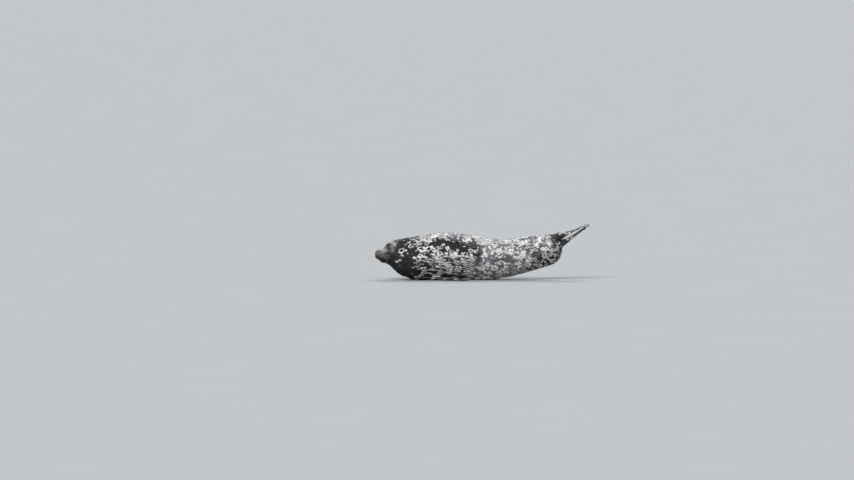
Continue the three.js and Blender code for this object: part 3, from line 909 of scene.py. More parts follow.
# %% The regions of the face
FACE_PATCHES = (
    # back from the nose, its spread, up, its spread, change of tone
    (40, 30, 43, 13, 0.44),  # top of the muzzle
    (60, 14, 22, 17, 0.22),  # side of the muzzle behind the pad
    (84, 13, 26, 13, 0.28),  # in front of the eye
    (112, 32, 104, 13, 0.42),  # forehead
    (103, 22, 60, 4, 0.16),  # line over the eye
    (150, 20, 82, 15, 0.30),  # temple
    (158, 16, 46, 12, -0.35),  # behind the eye
    (80, 19, -10, 21, -0.34),  # hollow behind the muzzle
    (102, 19, 75, 13, -0.34),  # brown brow
    (103, 15, 45, 9, -0.26),  # round the eye
    (107, 24, 5, 24, -0.42),  # cheek
    (12, 26, -22, 13, -0.24),  # upper lip
)


def face_regions(f, l, d):
    """The face's share and its tone: 0 is the dark of the lips, 1 the cream on top of the muzzle."""
    places = np.stack([f, l, d], -1)
    edge = 120 + 0.9 * np.minimum(d, 45)  # the face reaches further back at the crown than the throat
    edge = edge + 7 * ripples(places, 45, 5) + 4 * ripples(places, 17, 6)
    share = 1 - smoothstep(-42, 32, f - edge)
    tone = 0.48 + sum(change * hill((f - a) / b, (d - c) / e) for a, b, c, e, change in FACE_PATCHES)
    tone += 0.08 * hill((f - edge + 11) / 10)  # pale rim of the face
    # painted shade: the face is darker below the line of the lips, under the jaw
    tone -= 0.40 * smoothstep(6, -8, d - mouth_height(f)) * (1 - smoothstep(60, 100, f))  # jaw
    return share, np.clip(tone, 0, 1)


print("tones of the face:", len(FACE_PATCHES), "patches")

# %% The regions of the coat
COAT_PATCHES = (
    # behind the nose, its spread, degrees, their spread, change of ground, rings and fill
    (165, 22, 30, 30, 0.0, 0.0, 0.5),  # spot on the crown
    (222, 25, 96, 12, 0.0, 0.24, 0.0),
    (250, 45, 62, 20, 0.0, 0.24, 0.10),  # rings on the neck
    (266, 28, 89, 13, 0.0, 0.34, 0.0),
    (184, 26, 136, 12, 0.0, 0.3, 0.0),
    (310, 50, 143, 20, 0.16, 0.0, -0.12),
    (430, 90, 168, 20, 0.1, 0.12, 0.15),
    (392, 64, 78, 26, 0.1, 0.3, 0.82),  # white shoulder
    (436, 72, 95, 22, 0.0, 0.2, 0.68),
    # painted shade: darker ground and no white marks in the crease of the armpit
    (478, 30, 114, 9, -0.3, -0.5, -0.8),  # crease of the armpit
    (556, 42, 84, 20, 0.05, 0.1, 0.45),
    (494, 48, 143, 15, 0.0, 0.3, 0.80),  # white clusters of the flank
    (630, 46, 149, 15, 0.0, 0.3, 0.76),
    (764, 50, 149, 15, 0.0, 0.2, 0.60),
    # painted shadow: these four patches darken the flank under the fore flipper's lower edge and keep
    # rings and white off it
    (560, 50, 116, 9, -0.25, -0.65, -0.9),  # dark under the fore flipper
    (640, 50, 123, 8, -0.4, -0.85, -1.0),
    (722, 45, 131, 7, -0.4, -0.85, -1.0),
    (790, 30, 137, 6, -0.4, -0.8, -1.0),
    # partly the coat's own pale marking and partly painted light from above, on the top of the body behind
    # the fore flipper
    (784, 70, 88, 18, 0.35, 0.0, 0.60),  # pale band behind it
    (845, 36, 107, 9, 0.0, 0.1, 0.35),
    (826, 24, 141, 26, -0.4, -1.2, -1.4),  # bare dark column, and a white one behind it
    (867, 19, 136, 28, 0.2, 0.3, 0.85),
    (990, 60, 132, 10, 0.0, 0.2, 0.50),
    (1012, 44, 157, 12, -0.18, -0.9, -0.9),  # purple patch without rings
    # partly the coat's own pale marking and partly painted light from above, along the top of the back
    (1000, 280, 72, 20, 0.15, 0.0, 0.32),  # pale top of the back
    (1170, 64, 142, 32, -0.1, 0.3, 0.38),
    (1270, 50, 150, 9, -0.1, -0.3, -0.2),
    (1310, 50, 117, 12, 0.1, 0.1, 0.80),  # white patches near the ankles
    (1400, 48, 131, 12, 0.1, 0.1, 0.60),
    (1420, 38, 160, 24, 0.1, 0.0, 0.12),
    # painted shade: darker ground and fewer marks on the rear underside, which faces down
    (1376, 130, 204, 42, -0.6, -0.15, -0.35),  # dark rear underside
    (280, 90, 206, 38, -0.1, -0.4, -0.2),  # dark lower chest
    (1490, 70, 100, 70, -0.5, -0.15, -0.3),  # ankles
)


def coat_regions(x, degrees, owner):
    """How pale the ground is, how many rings it carries, how far they run together, and how streaked."""
    none = np.zeros((3, len(x)))
    left = add_patches(none, COAT_PATCHES, x, degrees)
    right = add_patches(none, COAT_PATCHES, x, (360 - degrees) % 360)
    ground = 0.10 + 0.12 * smoothstep(300, 520, x) + 0.50 * smoothstep(600, 880, x)
    rings = 0.09 + 0.52 * smoothstep(230, 370, x) + 0.27 * smoothstep(400, 600, x)
    fill = 0.02 + 0.30 * smoothstep(320, 520, x) + 0.10 * smoothstep(820, 1000, x)
    tones = np.stack([ground, rings, fill]) + mix(left, right, smoothstep(235, 262, degrees))
    streak = smoothstep(134, 164, degrees) * (1 - smoothstep(250, 300, degrees))
    streak *= smoothstep(235, 335, x) * (1 - smoothstep(700, 840, x))
    blade_tones = {
        # ground, rings and fill at the root and at the free end
        "fore": ((0.72, 0.60, 0.64), (0.42, 0.32, 0.14), smoothstep(94, 116, degrees)),
        "hind": ((0.26, 0.30, 0.16), (0.46, 0.24, 0.30), smoothstep(1450, 1600, x)),
    }
    for kind, (root, end, share) in blade_tones.items():
        own = np.isin(owner, numbers_of(f"{kind}_left", f"{kind}_right"))
        blade = np.stack([mix(a, b, share) for a, b in zip(root, end)])
        tones = np.where(own, blade, tones)
    return *np.clip(tones, 0, 1), streak


print("patches of the coat:", len(COAT_PATCHES))

# %% Storing the facts on the skin
BEHIND_HEAD = 260  # from here back the regions are softened
# painted light on the digits and painted shade in the webs between them
DIGIT_PAINTED_LIGHT_AND_SHADE = 0.42  # how much paler the ground is on a digit than on a web


def body_coordinates(points):
    """For points in the shared frame: distance behind the nose, path, and degrees around the body."""
    places = points / MM + FRAME_MIDDLE
    x = np.clip(places[:, 0], 0.5, RUMP_END - 0.5)
    centre, _, back, left = section_at(x)
    away = places - centre
    degrees = np.degrees(np.arctan2(dot(away, left), dot(away, back))) % 360
    front = np.arccos(np.clip(1 - x / NOSE_DOME, -1, 1)) / QUARTER * NOSE_ARC
    rear = SPAN - np.arccos(np.clip(1 - (RUMP_END - x) / RUMP_DOME, -1, 1)) / QUARTER * RUMP_ARC
    path = np.where(x < NOSE_DOME, front, np.where(x > RUMP_END - RUMP_DOME, rear, path_of(x)))
    return places[:, 0], path, degrees


def point_normals(points, triangles):
    a, b, c = (points[triangles[:, k]] for k in range(3))
    across = np.cross(b - a, c - a)
    total = np.stack([
        sum(np.bincount(triangles[:, k], across[:, axis], len(points)) for k in range(3))
        for axis in range(3)
    ], -1)
    return unit(total)


def blade_direction(name, keys):
    """The way a blade runs at each of its points, from the root to the free end."""
    u, across = np.clip(keys[:, 0], 0.02, 0.97), keys[:, 1] * 0.98
    return unit(
        blade_point(name, u + 0.02, across, keys[:, 2]) - blade_point(name, u - 0.02, across, keys[:, 2])
    )


def describe_skin(skin, points, edges, owner, keys):
    _, triangles = mesh_arrays(skin.data)
    normals = point_normals(points, triangles)
    x, path, degrees = body_coordinates(points)
    _, flow, _, _ = section_at(np.clip(x, 1, RUMP_END - 1))
    angle, digits = np.radians(degrees), np.zeros(len(points))
    sideways, upward = np.sin(angle) * ring["half_width"](x), np.cos(angle) * depth_at(x, angle)
    strand = np.stack([path, sideways, upward], -1)
    for i, name in enumerate(PART_NAMES):
        if name in LIMBS:
            own = owner == i
            u, across, side = keys[own].T
            flow[own] = blade_direction(name, keys[own])
            width = FLIPPERS[LIMBS[name][0]]["width"]
            strand[own] = np.stack([u * BLADE_LENGTH, across * 0.5 * width, 400 * i + 40 * side], -1)
            # painted light and shade: the ground is paler along each digit and darker in the webs
            digits[own] = smoothstep(0.25, 0.55, u) * (on_digit(across) - 0.55)
    half = np.full(len(points), 0.5)
    flow = level_with(relax(flow, edges, half, 12), normals)
    share, tone = face_regions(*to_head(points / MM + FRAME_MIDDLE))
    share = np.where(x < 230, share, 0)
    ground, *marks = coat_regions(x, degrees, owner)
    facts = {
        "place": points,
        "strand": strand * MM,
        "regions": np.stack([share, tone, np.clip(ground + DIGIT_PAINTED_LIGHT_AND_SHADE * digits, 0, 1)], -1),
        "marks": np.stack(marks, -1),
        "outward": normals,
    }
    for name in ("regions", "marks"):
        soft = relax(facts[name], edges, half, 10)
        facts[name] = np.where((x > BEHIND_HEAD)[:, None], soft, facts[name])
    for name, values in facts.items():
        set_vectors(skin.data, name, values)
    return facts, flow, normals, triangles


facts, skin_flow, skin_normals, skin_triangles = describe_skin(
    skin, skin_points, skin_edges, skin_owner, skin_keys
)
print("facts on", len(skin_points), "points:", ", ".join(facts))

# %% [markdown]
# ## Building materials from nodes
# A material is a small network of nodes. Written out link by link it is hard to read. So an output of a
# node is kept as a wire that can stand in a formula, where each sign adds the node that works it out,
# and a few helpers add one node each. Patterns that more than one material uses are built once as node
# groups with named inputs and outputs.

# %% Wires and nodes
def add_node(tree, kind, inputs=None, **settings):
    """Adds a node, and links each input to a wire or fills it with a value. Returns its outputs."""
    node = tree.nodes.new(kind)
    for name, value in settings.items():
        setattr(node, name, value)
    for key, value in (inputs or {}).items():
        fill_socket(node.inputs[key], value)
    return {output.name: Wire(output) for output in node.outputs if output.enabled}


def fill_socket(socket, value):
    if isinstance(value, Wire):
        socket.id_data.links.new(value.socket, socket)
    elif value is not None:
        socket.default_value = (*value, 1) if socket.type == "RGBA" else value


class Wire:
    """An output of a node that can stand in a formula with +, -, *, /, @ (dot product) and abs()."""

    def __init__(self, socket):
        self.socket, self.tree = socket, socket.id_data
        self.is_vector = socket.type in ("VECTOR", "RGBA")

    def maths(self, operation, a, b=None):
        kind = "ShaderNodeVectorMath" if self.is_vector else "ShaderNodeMath"
        (result,) = add_node(self.tree, kind, {0: a, 1: b}, operation=operation).values()
        return result

    def scale(self, factor):
        inputs = {"Vector": self, "Scale": factor}
        return add_node(self.tree, "ShaderNodeVectorMath", inputs, operation="SCALE")["Vector"]

    def __add__(self, other):
        return self.maths("ADD", self, other)

    def __sub__(self, other):
        return self.maths("SUBTRACT", self, other)

    def __rsub__(self, other):
        return self.maths("SUBTRACT", other, self)

    def __mul__(self, other):
        by_number = self.is_vector and not isinstance(other, tuple)
        return self.scale(other) if by_number else self.maths("MULTIPLY", self, other)

    def __rtruediv__(self, other):
        return self.maths("DIVIDE", other, self)

    def __matmul__(self, other):
        return self.maths("DOT_PRODUCT", self, other)

    def __abs__(self):
        return self.maths("ABSOLUTE", self)


def larger(a, b):
    return a.maths("MAXIMUM", a, b)


def length(vector):
    return vector.maths("LENGTH", vector)


def fade(value, low, high, start=0.0, end=1.0):
    """Turns a value into a soft step from start to end as it goes from low to high."""
    inputs = {"Value": value, "From Min": low, "From Max": high, "To Min": start, "To Max": end}
    return add_node(value.tree, "ShaderNodeMapRange", inputs, interpolation_type="SMOOTHSTEP")["Result"]


def blend(share, a, b):
    return add_node(share.tree, "ShaderNodeMix", {0: share, 6: a, 7: b}, data_type="RGBA")["Result"]


def lerp(share, a, b):
    return add_node(share.tree, "ShaderNodeMix", {0: share, 2: a, 3: b}, data_type="FLOAT")["Result"]


def ramp(value, stops):
    """A colour ramp with stops of (place, (red, green, blue))."""
    colour = add_node(value.tree, "ShaderNodeValToRGB", {"Fac": value})["Color"]
    elements = colour.socket.node.color_ramp.elements
    while len(elements) < len(stops):
        elements.new(0.5)
    for element, (place, stop) in zip(elements, stops):
        element.position, element.color = place, (*stop, 1)
    return colour


def noise(vector, scale, detail=2.0, roughness=0.5, output="Fac"):
    inputs = {"Vector": vector, "Scale": scale, "Detail": detail, "Roughness": roughness}
    return add_node(vector.tree, "ShaderNodeTexNoise", inputs)[output]


def split(vector):
    return list(add_node(vector.tree, "ShaderNodeSeparateXYZ", {0: vector}).values())


def stored(tree, name):
    return add_node(tree, "ShaderNodeAttribute", attribute_name=name)["Vector"]


def bump(height, strength, distance):
    inputs = {"Height": height, "Strength": strength, "Distance": distance}
    return add_node(height.tree, "ShaderNodeBump", inputs)["Normal"]


def new_group(name, inputs, outputs):
    """An empty node group with named sockets. Returns its tree and the wires of its inputs."""
    tree = bpy.data.node_groups.new(name, "ShaderNodeTree")
    for label, (kind, value) in inputs.items():
        socket = tree.interface.new_socket(name=label, in_out="INPUT", socket_type=f"NodeSocket{kind}")
        if value is not None:
            socket.default_value = value
    for label, kind in outputs.items():
        tree.interface.new_socket(name=label, in_out="OUTPUT", socket_type=f"NodeSocket{kind}")
    return tree, add_node(tree, "NodeGroupInput")


def use_group(tree, group, inputs):
    return add_node(tree, "ShaderNodeGroup", inputs, node_tree=group)


def new_material(name):
    material = bpy.data.materials.new(name)
    material.use_nodes = True
    return material, material.node_tree


def set_shader(material, **values):
    """Fills the sockets of the material's Principled shader, and returns the material."""
    for name, value in values.items():
        fill_socket(material.node_tree.nodes["Principled BSDF"].inputs[name.replace("_", " ")], value)
    return material


print("node helpers ready")

# %% [markdown]
# ## The rings
# A dark-phase harbor seal is covered with pale rings. They could be painted, or scattered as discs, but
# a cell pattern makes them in one step: each cell of a 3D Voronoi pattern has a centre, and all places
# at one distance from it make a ring. The distance is measured along the skin, by taking away the part
# of it that points out of the skin, so that every ring has a stroke of the same width.
# Noise pushes the places about first, so that no ring is a true circle.

# %% The ring group
PUSHES = ((0.8, 1.0), (2.9, 0.42), (11.0, 0.16))  # how fine each push is, and its share of the wobble


def build_ring_group():
    tree, given = new_group("pelage_rings", {
        "Place": ("Vector", None),
        "Outward": ("Vector", None),
        "Cell Size": ("Float", 0.05),
        "Radius": ("Float", 0.30),
        "Stroke": ("Float", 0.085),
        "Wobble": ("Float", 0.4),
        "Amount": ("Float", 0.5),
    }, {"Mask": "Float"})
    place = given["Place"] * (1.0 / given["Cell Size"])
    for fineness, share in PUSHES:
        push = noise(place, fineness, 1.0, output="Color") - (0.5, 0.5, 0.5)
        place = place + push * (given["Wobble"] * (share * 2))
    cells = add_node(tree, "ShaderNodeTexVoronoi", {"Vector": place, "Scale": 1.0, "Randomness": 0.85})
    own_size, own_stroke, rarity = split(cells["Color"])
    away = place - cells["Position"]
    height = away @ given["Outward"]
    along_skin = away - given["Outward"] * height
    radius = given["Radius"] * lerp(own_size, 0.5, 1.3)
    gap = abs(length(along_skin) - radius)
    stroke = given["Stroke"] * lerp(own_stroke, 0.7, 1.3) * lerp(noise(place, 1.7, 1.0), 0.5, 1.5)
    line = fade(gap, stroke * 1.4, stroke * 0.65)
    shown = fade(rarity, given["Amount"] + 0.05, given["Amount"] - 0.05) * fade(abs(height), 0.52, 0.40)
    add_node(tree, "NodeGroupOutput", {"Mask": line * shown})
    return tree


ring_group = build_ring_group()
print("node group:", ring_group.name, "with", len(ring_group.nodes), "nodes")

# %% [markdown]
# ## The whole pattern of the coat
# Three layers of rings of different sizes lie over a ground that runs from near black on the neck to a
# purplish grey on the rump. On the underside the rings are drawn out into streaks, where the skin is
# stretched. Where many rings meet, they run together into white. The face has no rings but its own soft
# tones, and its edge breaks up in flecks. All of it could be painted as a texture, but computed patterns
# stay sharp near by. The group is given the facts stored on the skin, so skin and coat get one answer.

# %% The markings group
BLACK_TO_GREY = (
    (0.0, (0.005, 0.006, 0.007)),
    (0.3, (0.020, 0.022, 0.024)),
    (0.6, (0.100, 0.096, 0.103)),
    (1.0, (0.285, 0.272, 0.292)),
)
FACE_TONES = (
    (0.0, (0.010, 0.010, 0.010)),
    (0.28, (0.046, 0.040, 0.037)),
    (0.5, (0.150, 0.142, 0.140)),
    (0.75, (0.340, 0.330, 0.310)),
    (1.0, (0.640, 0.630, 0.580)),
)
PALE = (0.87, 0.87, 0.86)
SOILED = (0.64, 0.64, 0.63)
RING_LAYERS = {
    # cell size, radius, stroke, wobble, how the pattern is shifted and stretched
    "large": (0.048, 0.30, 0.090, 0.40, (0, 0, 0), (0.82, 1, 1)),
    "small": (0.026, 0.30, 0.125, 0.44, (3.1, 1.7, 5.3), (0.78, 1, 1)),
    "streaks": (0.024, 0.30, 0.120, 0.50, (1.3, 4.1, 2.2), (0.36, 1, 1)),
    "holes": (0.027, 0.10, 0.120, 0.50, (7.7, 2.9, 0.4), (1, 1, 1)),
}
BLOTS = (((0.8, 1, 1), 24.0), ((0.3, 1, 1), 44.0))  # round ones, and long ones where there are streaks


def ring_layer(given, name, amount):
    *sizes, shift, stretched = RING_LAYERS[name]
    inputs = dict(zip(("Cell Size", "Radius", "Stroke", "Wobble"), sizes))
    inputs |= {"Outward": given["Outward"], "Amount": amount}
    inputs["Place"] = (given["Place"] + shift) * stretched
    return use_group(given["Place"].tree, ring_group, inputs)["Mask"]


def build_markings():
    inputs = {name: ("Vector", None) for name in ("Place", "Outward", "Regions", "Marks")}
    tree, given = new_group("seal_markings", inputs, {"Color": "Color"})
    place = given["Place"]
    face, face_tone, ground_tone = split(given["Regions"])
    rings, fill, streak = split(given["Marks"])
    flecks = lerp(noise(place * (0.4, 1, 1), 120.0, 3.0, 0.6), -6.5, 6.5)
    face = fade(face + face * (1.0 - face) * flecks, 0.40, 0.60)
    large = ring_layer(given, "large", rings * lerp(ground_tone, 1.0, 0.5))
    small = ring_layer(given, "small", rings * lerp(ground_tone, 0.7, 1.0))
    drawn = fade(streak + lerp(noise(place, 26.0, 2.0), -0.5, 0.5), 0.44, 0.56)
    marks = lerp(drawn, larger(large, small), ring_layer(given, "streaks", rings + 0.16))
    low = 0.72 - fill * 0.34
    blots = [fade(noise(place * longer, pace, 3.0, 0.62), low, low + 0.06) for longer, pace in BLOTS]
    blots = lerp(drawn, *blots) * lerp(ring_layer(given, "holes", 0.75), 1.0, 0.25)
    white = larger(marks, blots) * fade(noise(place, 17.0, 2.0), 0.36, 0.54, 0.5, 1.0)
    mottle = lerp(noise(place, 34.0, 3.0, 0.6), -0.24, 0.24)
    pale = blend(fade(noise(place, 75.0, 3.0), 0.34, 0.58), SOILED, PALE)
    coat = blend(white, ramp(ground_tone + mottle, BLACK_TO_GREY), pale)
    grain = lerp(noise(place, 90.0, 3.0, 0.65), -0.15, 0.15)
    add_node(tree, "NodeGroupOutput", {"Color": blend(face, coat, ramp(face_tone + grain, FACE_TONES))})
    return tree


markings = build_markings()
print("node group:", markings.name, "with", len(markings.nodes), "nodes")

# %% [markdown]
# ## Short flat fur
# The hair of a harbor seal is about a centimetre long and lies flat, so from nearby it reads as fine
# streaks that run tailwards. Most of it is bump: noise stretched along the stored strand direction, in a
# fine layer for hairs and a wider one for the locks they dry into. The mesh tufts come on top of this.

# %% The fur group and the skin's material
def build_fur_group():
    tree, given = new_group("flat_fur", {"Strand": ("Vector", None)}, {"Height": "Float"})
    hairs = noise(given["Strand"] * (70, 950, 950), 1.0, 2.0, 0.6)
    locks = noise(given["Strand"] * (30, 260, 260), 1.0, 2.0, 0.5)
    add_node(tree, "NodeGroupOutput", {"Height": hairs * 0.45 + locks})
    return tree


def pelage_colour(tree):
    """The markings for the facts stored on a mesh."""
    inputs = {name.title(): stored(tree, name) for name in ("place", "outward", "regions", "marks")}
    return use_group(tree, markings, inputs)["Color"]


def build_skin_material():
    material, tree = new_material("seal_pelt")
    height = use_group(tree, build_fur_group(), {"Strand": stored(tree, "strand")})["Height"]
    return set_shader(
        material,
        # painted shade: the markings are darker on the skin under the coat, most in the low parts of the
        # fur relief, and paler on its high parts
        Base_Color=pelage_colour(tree) * fade(height, 0.45, 0.95, 0.80, 1.12),
        Roughness=fade(height, 0.4, 1.0, 0.72, 0.5),
        Normal=bump(height, 0.6, 0.0012),
        Specular_IOR_Level=0.35,
    )


skin.data.materials.clear()
skin.data.materials.append(build_skin_material())
FLESH_NODES = (
    "head", "neck", "chest", "belly", "hips", "tail",
    "fore_flipper_left", "fore_flipper_right", "hind_flipper_left", "hind_flipper_right",
)
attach(skin, "root")
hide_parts(*FLESH_NODES)
print("the skin stands for", len(FLESH_NODES), "nodes")

# %% [markdown]
# ## The nose
# The nose pad is bare, dark, pebbled leather, with the two nostrils as slits that form a V. When a seal
# rests they are almost shut. It could be cut into the skin, but that needs a far finer skin. So the pad
# is a round patch laid on the muzzle: it is drawn in flat coordinates, wrapped over the rounded front,
# and pressed in along two curved lines.

# %% The nose pad
NOSE = {"up": 30.0, "width": 22.0, "height": 15.0, "proud": 1.5, "sunk": -9.0}
NOSTRIL = {"low": (4.0, -8.5), "high": (13.5, 5.0), "bow": 2.6, "half_width": 1.7, "depth": 6.5}


def on_muzzle(across, up, rise):
    """Wraps flat coordinates over the front of the muzzle: the distance from the tip becomes the path."""
    s = np.hypot(across, up)
    degrees = np.degrees(np.arctan2(across, up)) % 360
    points = body_point(s, degrees, COAT_DEPTH["face"], detailed=False)
    return moved(points, (rise, swept_normal(np.maximum(s, 1.5), degrees)))


def nostril_press(across, up):
    """How deep the nostrils press in at a place on the pad."""
    low, high = np.array(NOSTRIL["low"]), np.array(NOSTRIL["high"])
    line = high - low
    length, aside, above = math.hypot(*line), np.abs(across) - low[0], up - low[1]
    t = (aside * line[0] + above * line[1]) / (line @ line)
    k = np.clip(t, 0, 1)
    off = (aside * line[1] - above * line[0]) / length - NOSTRIL["bow"] * 4 * k * (1 - k)
    width = NOSTRIL["half_width"] * (0.45 + 2.2 * k * (1 - k) + 0.35 * k)
    gap = np.hypot(off, np.abs(t - k) * length) / width
    return NOSTRIL["depth"] * (1 - smoothstep(0.35, 1.25, gap)) - 0.7 * hill((gap - 1.9) / 0.8)


def build_nose():
    """Rings from the middle of the pad to its edge, and back under it."""
    out, back = np.linspace(0.02, 1, 44), np.linspace(0.94, 0.05, 7)
    share, angle = grid(np.concatenate([out, back]), around_circle(120))
    narrow = 1 - 0.22 * smoothstep(0.2, -1, np.sin(angle))
    across = NOSE["width"] * share * np.cos(angle) * narrow
    up = NOSE["height"] * share * np.sin(angle)
    rise = NOSE["proud"] * (1 - smoothstep(0.8, 1.0, share) * 1.6)
    rise = rise - 1.2 * hill(across / 1.2) * smoothstep(4, -12, up) - nostril_press(across, up)
    rise[len(out):] = NOSE["sunk"]
    return loft("nose_pad", on_muzzle(across, NOSE["up"] + up, rise))


def build_leather(name, colour, pale_colour):
    material, tree = new_material(name)
    place = add_node(tree, "ShaderNodeTexCoord")["Object"]
    pebbles = add_node(tree, "ShaderNodeTexVoronoi", {"Vector": place, "Scale": 700.0, "Randomness": 0.9})
    height = fade(pebbles["Distance"], 0.1, 0.7, 1.0, 0.0)
    return set_shader(
        material,
        Base_Color=blend(fade(noise(place, 60.0, 3.0), 0.35, 0.7), colour, pale_colour),
        Roughness=fade(height, 0.0, 1.0, 0.55, 0.33),
        Normal=bump(height, 0.5, 0.0004),
        Coat_Weight=0.12,
        Coat_Roughness=0.25,
    )


nose_leather = build_leather("nose_leather", (0.020, 0.018, 0.019), (0.060, 0.052, 0.055))
nose_pad = build_nose()
nose_pad.data.materials.append(nose_leather)
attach(nose_pad, "root")
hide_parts("nose")
print("nose pad:", len(nose_pad.data.polygons), "faces")

# %% [markdown]
# ## The eyes
# The eye looks black from afar, but it has a wide pupil in a very dark brown iris under a wet, clear
# cornea. A ball and a glass shell over it would be nearer to life, but the shell is hard to keep in an
# exported model, so one ball has a clear coat. It is turned so that its poles lie on the line of sight.
# Each point stores its direction from the centre, and pupil, iris and rim are read from that.

# %% Eyeballs and lid rims
def build_eyeball(side):
    centre, outward, along, up = EYES[side]
    polar, angle = grid(np.linspace(0.02, np.pi - 0.02, 49), around_circle(72))
    a, b, c = np.sin(polar) * np.cos(angle), np.sin(polar) * np.sin(angle), np.cos(polar)
    radius = EYE["radius"] * (1 - 0.012) + 0.7 * hill(polar / 0.5)  # the cornea bulges a little
    rings = centre + radius[..., None] * moved(0, (a, along), (b, up), (c, outward))
    made = loft(f"eyeball_{side}", rings)
    gaze = np.stack([a, b, c], -1).reshape(-1, 3)
    set_vectors(made.data, "gaze", np.concatenate([gaze, [[0, 0, 1]], [[0, 0, -1]]]))
    return made


def build_eye_material():
    material, tree = new_material("wet_eye")
    gaze = stored(tree, "gaze")
    aside = gaze * (1, 1, 0)
    fibres = noise(aside.maths("NORMALIZE", aside) * (9, 9, 9), 1.0, 3.0)
    iris = ramp(length(aside) + lerp(fibres, -0.03, 0.03), (
        (0.38, (0.001, 0.001, 0.001)), (0.42, (0.006, 0.003, 0.002)), (0.54, (0.015, 0.008, 0.004)),
        (0.64, (0.004, 0.003, 0.002)), (0.74, (0.014, 0.010, 0.009)),
    ))
    wet = fade(noise(gaze, 5.0, 2.0), 0.3, 0.7, 0.03, 0.07)
    return set_shader(material, Base_Color=iris, Roughness=wet, Coat_Weight=1.0, Coat_Roughness=0.02,
                      Specular_IOR_Level=0.1)


def tube_rings(path, radius, first, second, sides, flat=(1, 1)):
    """A ring of points round each place of a path, in the plane of two directions."""
    angle = around_circle(sides)
    across, above = flat[0] * np.cos(angle)[None], flat[1] * np.sin(angle)[None]
    circle = moved(0, (across, first[:, None]), (above, second[:, None]))
    return path[:, None] + radius[:, None, None] * circle


def build_lid_rim(side):
    """The dark wet edge of the lids: a closed tube with a small tear corner towards the nose."""
    centre, outward, along, up = EYES[side]
    angle = around_circle(128)
    corner = hill((angle - np.pi) / 0.22)
    a = (LID["length"] + 0.2) * np.cos(angle) - 2.4 * corner
    height = np.where(np.sin(angle) > 0, LID["upper"], LID["lower"]) + 0.2
    b = height * np.sign(np.sin(angle)) * np.abs(np.sin(angle)) ** (2 / ALMOND)
    reach = EYE["radius"] + 0.35
    c = np.sqrt(reach**2 - a**2 - b**2) + 0.4 * corner
    path = moved(centre, (a, along), (b, up), (c, outward))
    ahead = unit(np.roll(path, -1, 0) - np.roll(path, 1, 0))
    away = level_with(unit(path - path.mean(0)), ahead)
    radius = 1.15 + 0.35 * hill((b - LID["upper"]) / 4) + 0.3 * corner
    rings = tube_rings(path, radius, away, np.cross(ahead, away), 10)
    faces = ring_faces(len(path) + 1, 10) % (len(path) * 10)
    return face_outward(new_mesh(f"lid_rim_{side}", in_frame(rings.reshape(-1, 3)), [faces]))


eye_material = build_eye_material()
lid_leather = build_leather("lid_leather", (0.010, 0.009, 0.009), (0.030, 0.025, 0.024))
for side in EYES:
    eyeball = build_eyeball(side)
    eyeball.data.materials.append(eye_material)
    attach(eyeball, "root")
    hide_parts(f"eye_{side}")
    lid_rim = build_lid_rim(side)
    lid_rim.data.materials.append(lid_leather)
    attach(lid_rim, "root")
print("eyes: two balls with a lid rim each")

# %% [markdown]
# ## The claws
# Each digit carries a curved claw that grows from its upper side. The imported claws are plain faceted
# spikes. A bent cone would do for a small claw, but a loft also gives a keel and a root that narrows as
# it sinks into the digit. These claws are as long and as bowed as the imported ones, and a little slimmer.
# Horn grows in fine lines along its length and is worn paler at the tip.

# %% Claws
CLAWS = {"fore": {"length": 31, "base": 5}, "hind": {"length": 21, "base": 3.4}}
CLAW_POINT = 0.35
SLIMMER = 0.8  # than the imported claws


def build_claw(name, digit):
    kind, place, top = LIMBS[name]
    length, base = CLAWS[kind]["length"], CLAWS[kind]["base"] * SLIMMER
    across = np.array((digit + 0.5) / DIGITS * 2 - 1)
    start = blade_reach(kind, across) - 0.42 * length
    height = blade_half_depth(kind, 0.9, across) * 0.8 + base * 0.2
    t, angle = grid(np.linspace(0, 1, 24) ** 1.3, around_circle(14))
    rooted = 1 - smoothstep(0, 0.22, t)
    radius = (base * (1 - t) ** 0.8 + CLAW_POINT) * (1 - 0.55 * rooted ** 2)
    bow = height + length * (0.16 * t - 0.34 * t * t) - 1.15 * base * rooted
    keel = 1 + 0.25 * np.maximum(np.sin(angle), 0) ** 3
    sideways = across * blade_half_width(kind, 1.0) + 0.72 * radius * np.cos(angle)
    rings = place(start + length * t, sideways, top * (bow + radius * np.sin(angle) * keel))
    made = loft(f"horn_{name}_{DIGITS - digit}", rings)
    growth = np.stack([t, np.cos(angle), np.sin(angle)], -1).reshape(-1, 3)
    set_vectors(made.data, "growth", np.concatenate([growth, [[0, 0, 0]], [[1, 0, 0]]]))
    return made


def build_horn():
    material, tree = new_material("claw_horn")
    growth = stored(tree, "growth")
    lines = noise(growth * (1.5, 7, 7), 1.0, 3.0)
    return set_shader(
        material,
        Base_Color=ramp(split(growth)[0] + lerp(lines, -0.25, 0.25), (
            (0.0, (0.020, 0.015, 0.012)), (0.55, (0.045, 0.032, 0.024)), (1.0, (0.170, 0.125, 0.085)),
        )),
        Roughness=fade(lines, 0.3, 0.7, 0.42, 0.26),
        Normal=bump(lines, 0.4, 0.0003),
    )


horn = build_horn()
for name in LIMBS:
    for digit in range(DIGITS):
        claw = build_claw(name, digit)
        claw.data.materials.append(horn)
        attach(claw, "root")
        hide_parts(f"claw_{name}_{DIGITS - digit}")
print("claws:", DIGITS * len(LIMBS))

# %% [markdown]
# ## The whiskers
# A harbor seal's whiskers are not smooth: each is flattened and beaded along its length. They stand in
# rows on the pads, short in front and long behind, and a few grow over each eye. Curve objects with a
# bevel would be quicker, but tubes made here swell and narrow as they should, all of them in one mesh.

# %% Whiskers
WHISKERS_IN_ROWS = (4, 7, 8, 8, 7, 5)
BROW_WHISKERS = 5
WHISKER_STEPS = 30
WHISKER_SIDES = 5
rng = np.random.default_rng(11)


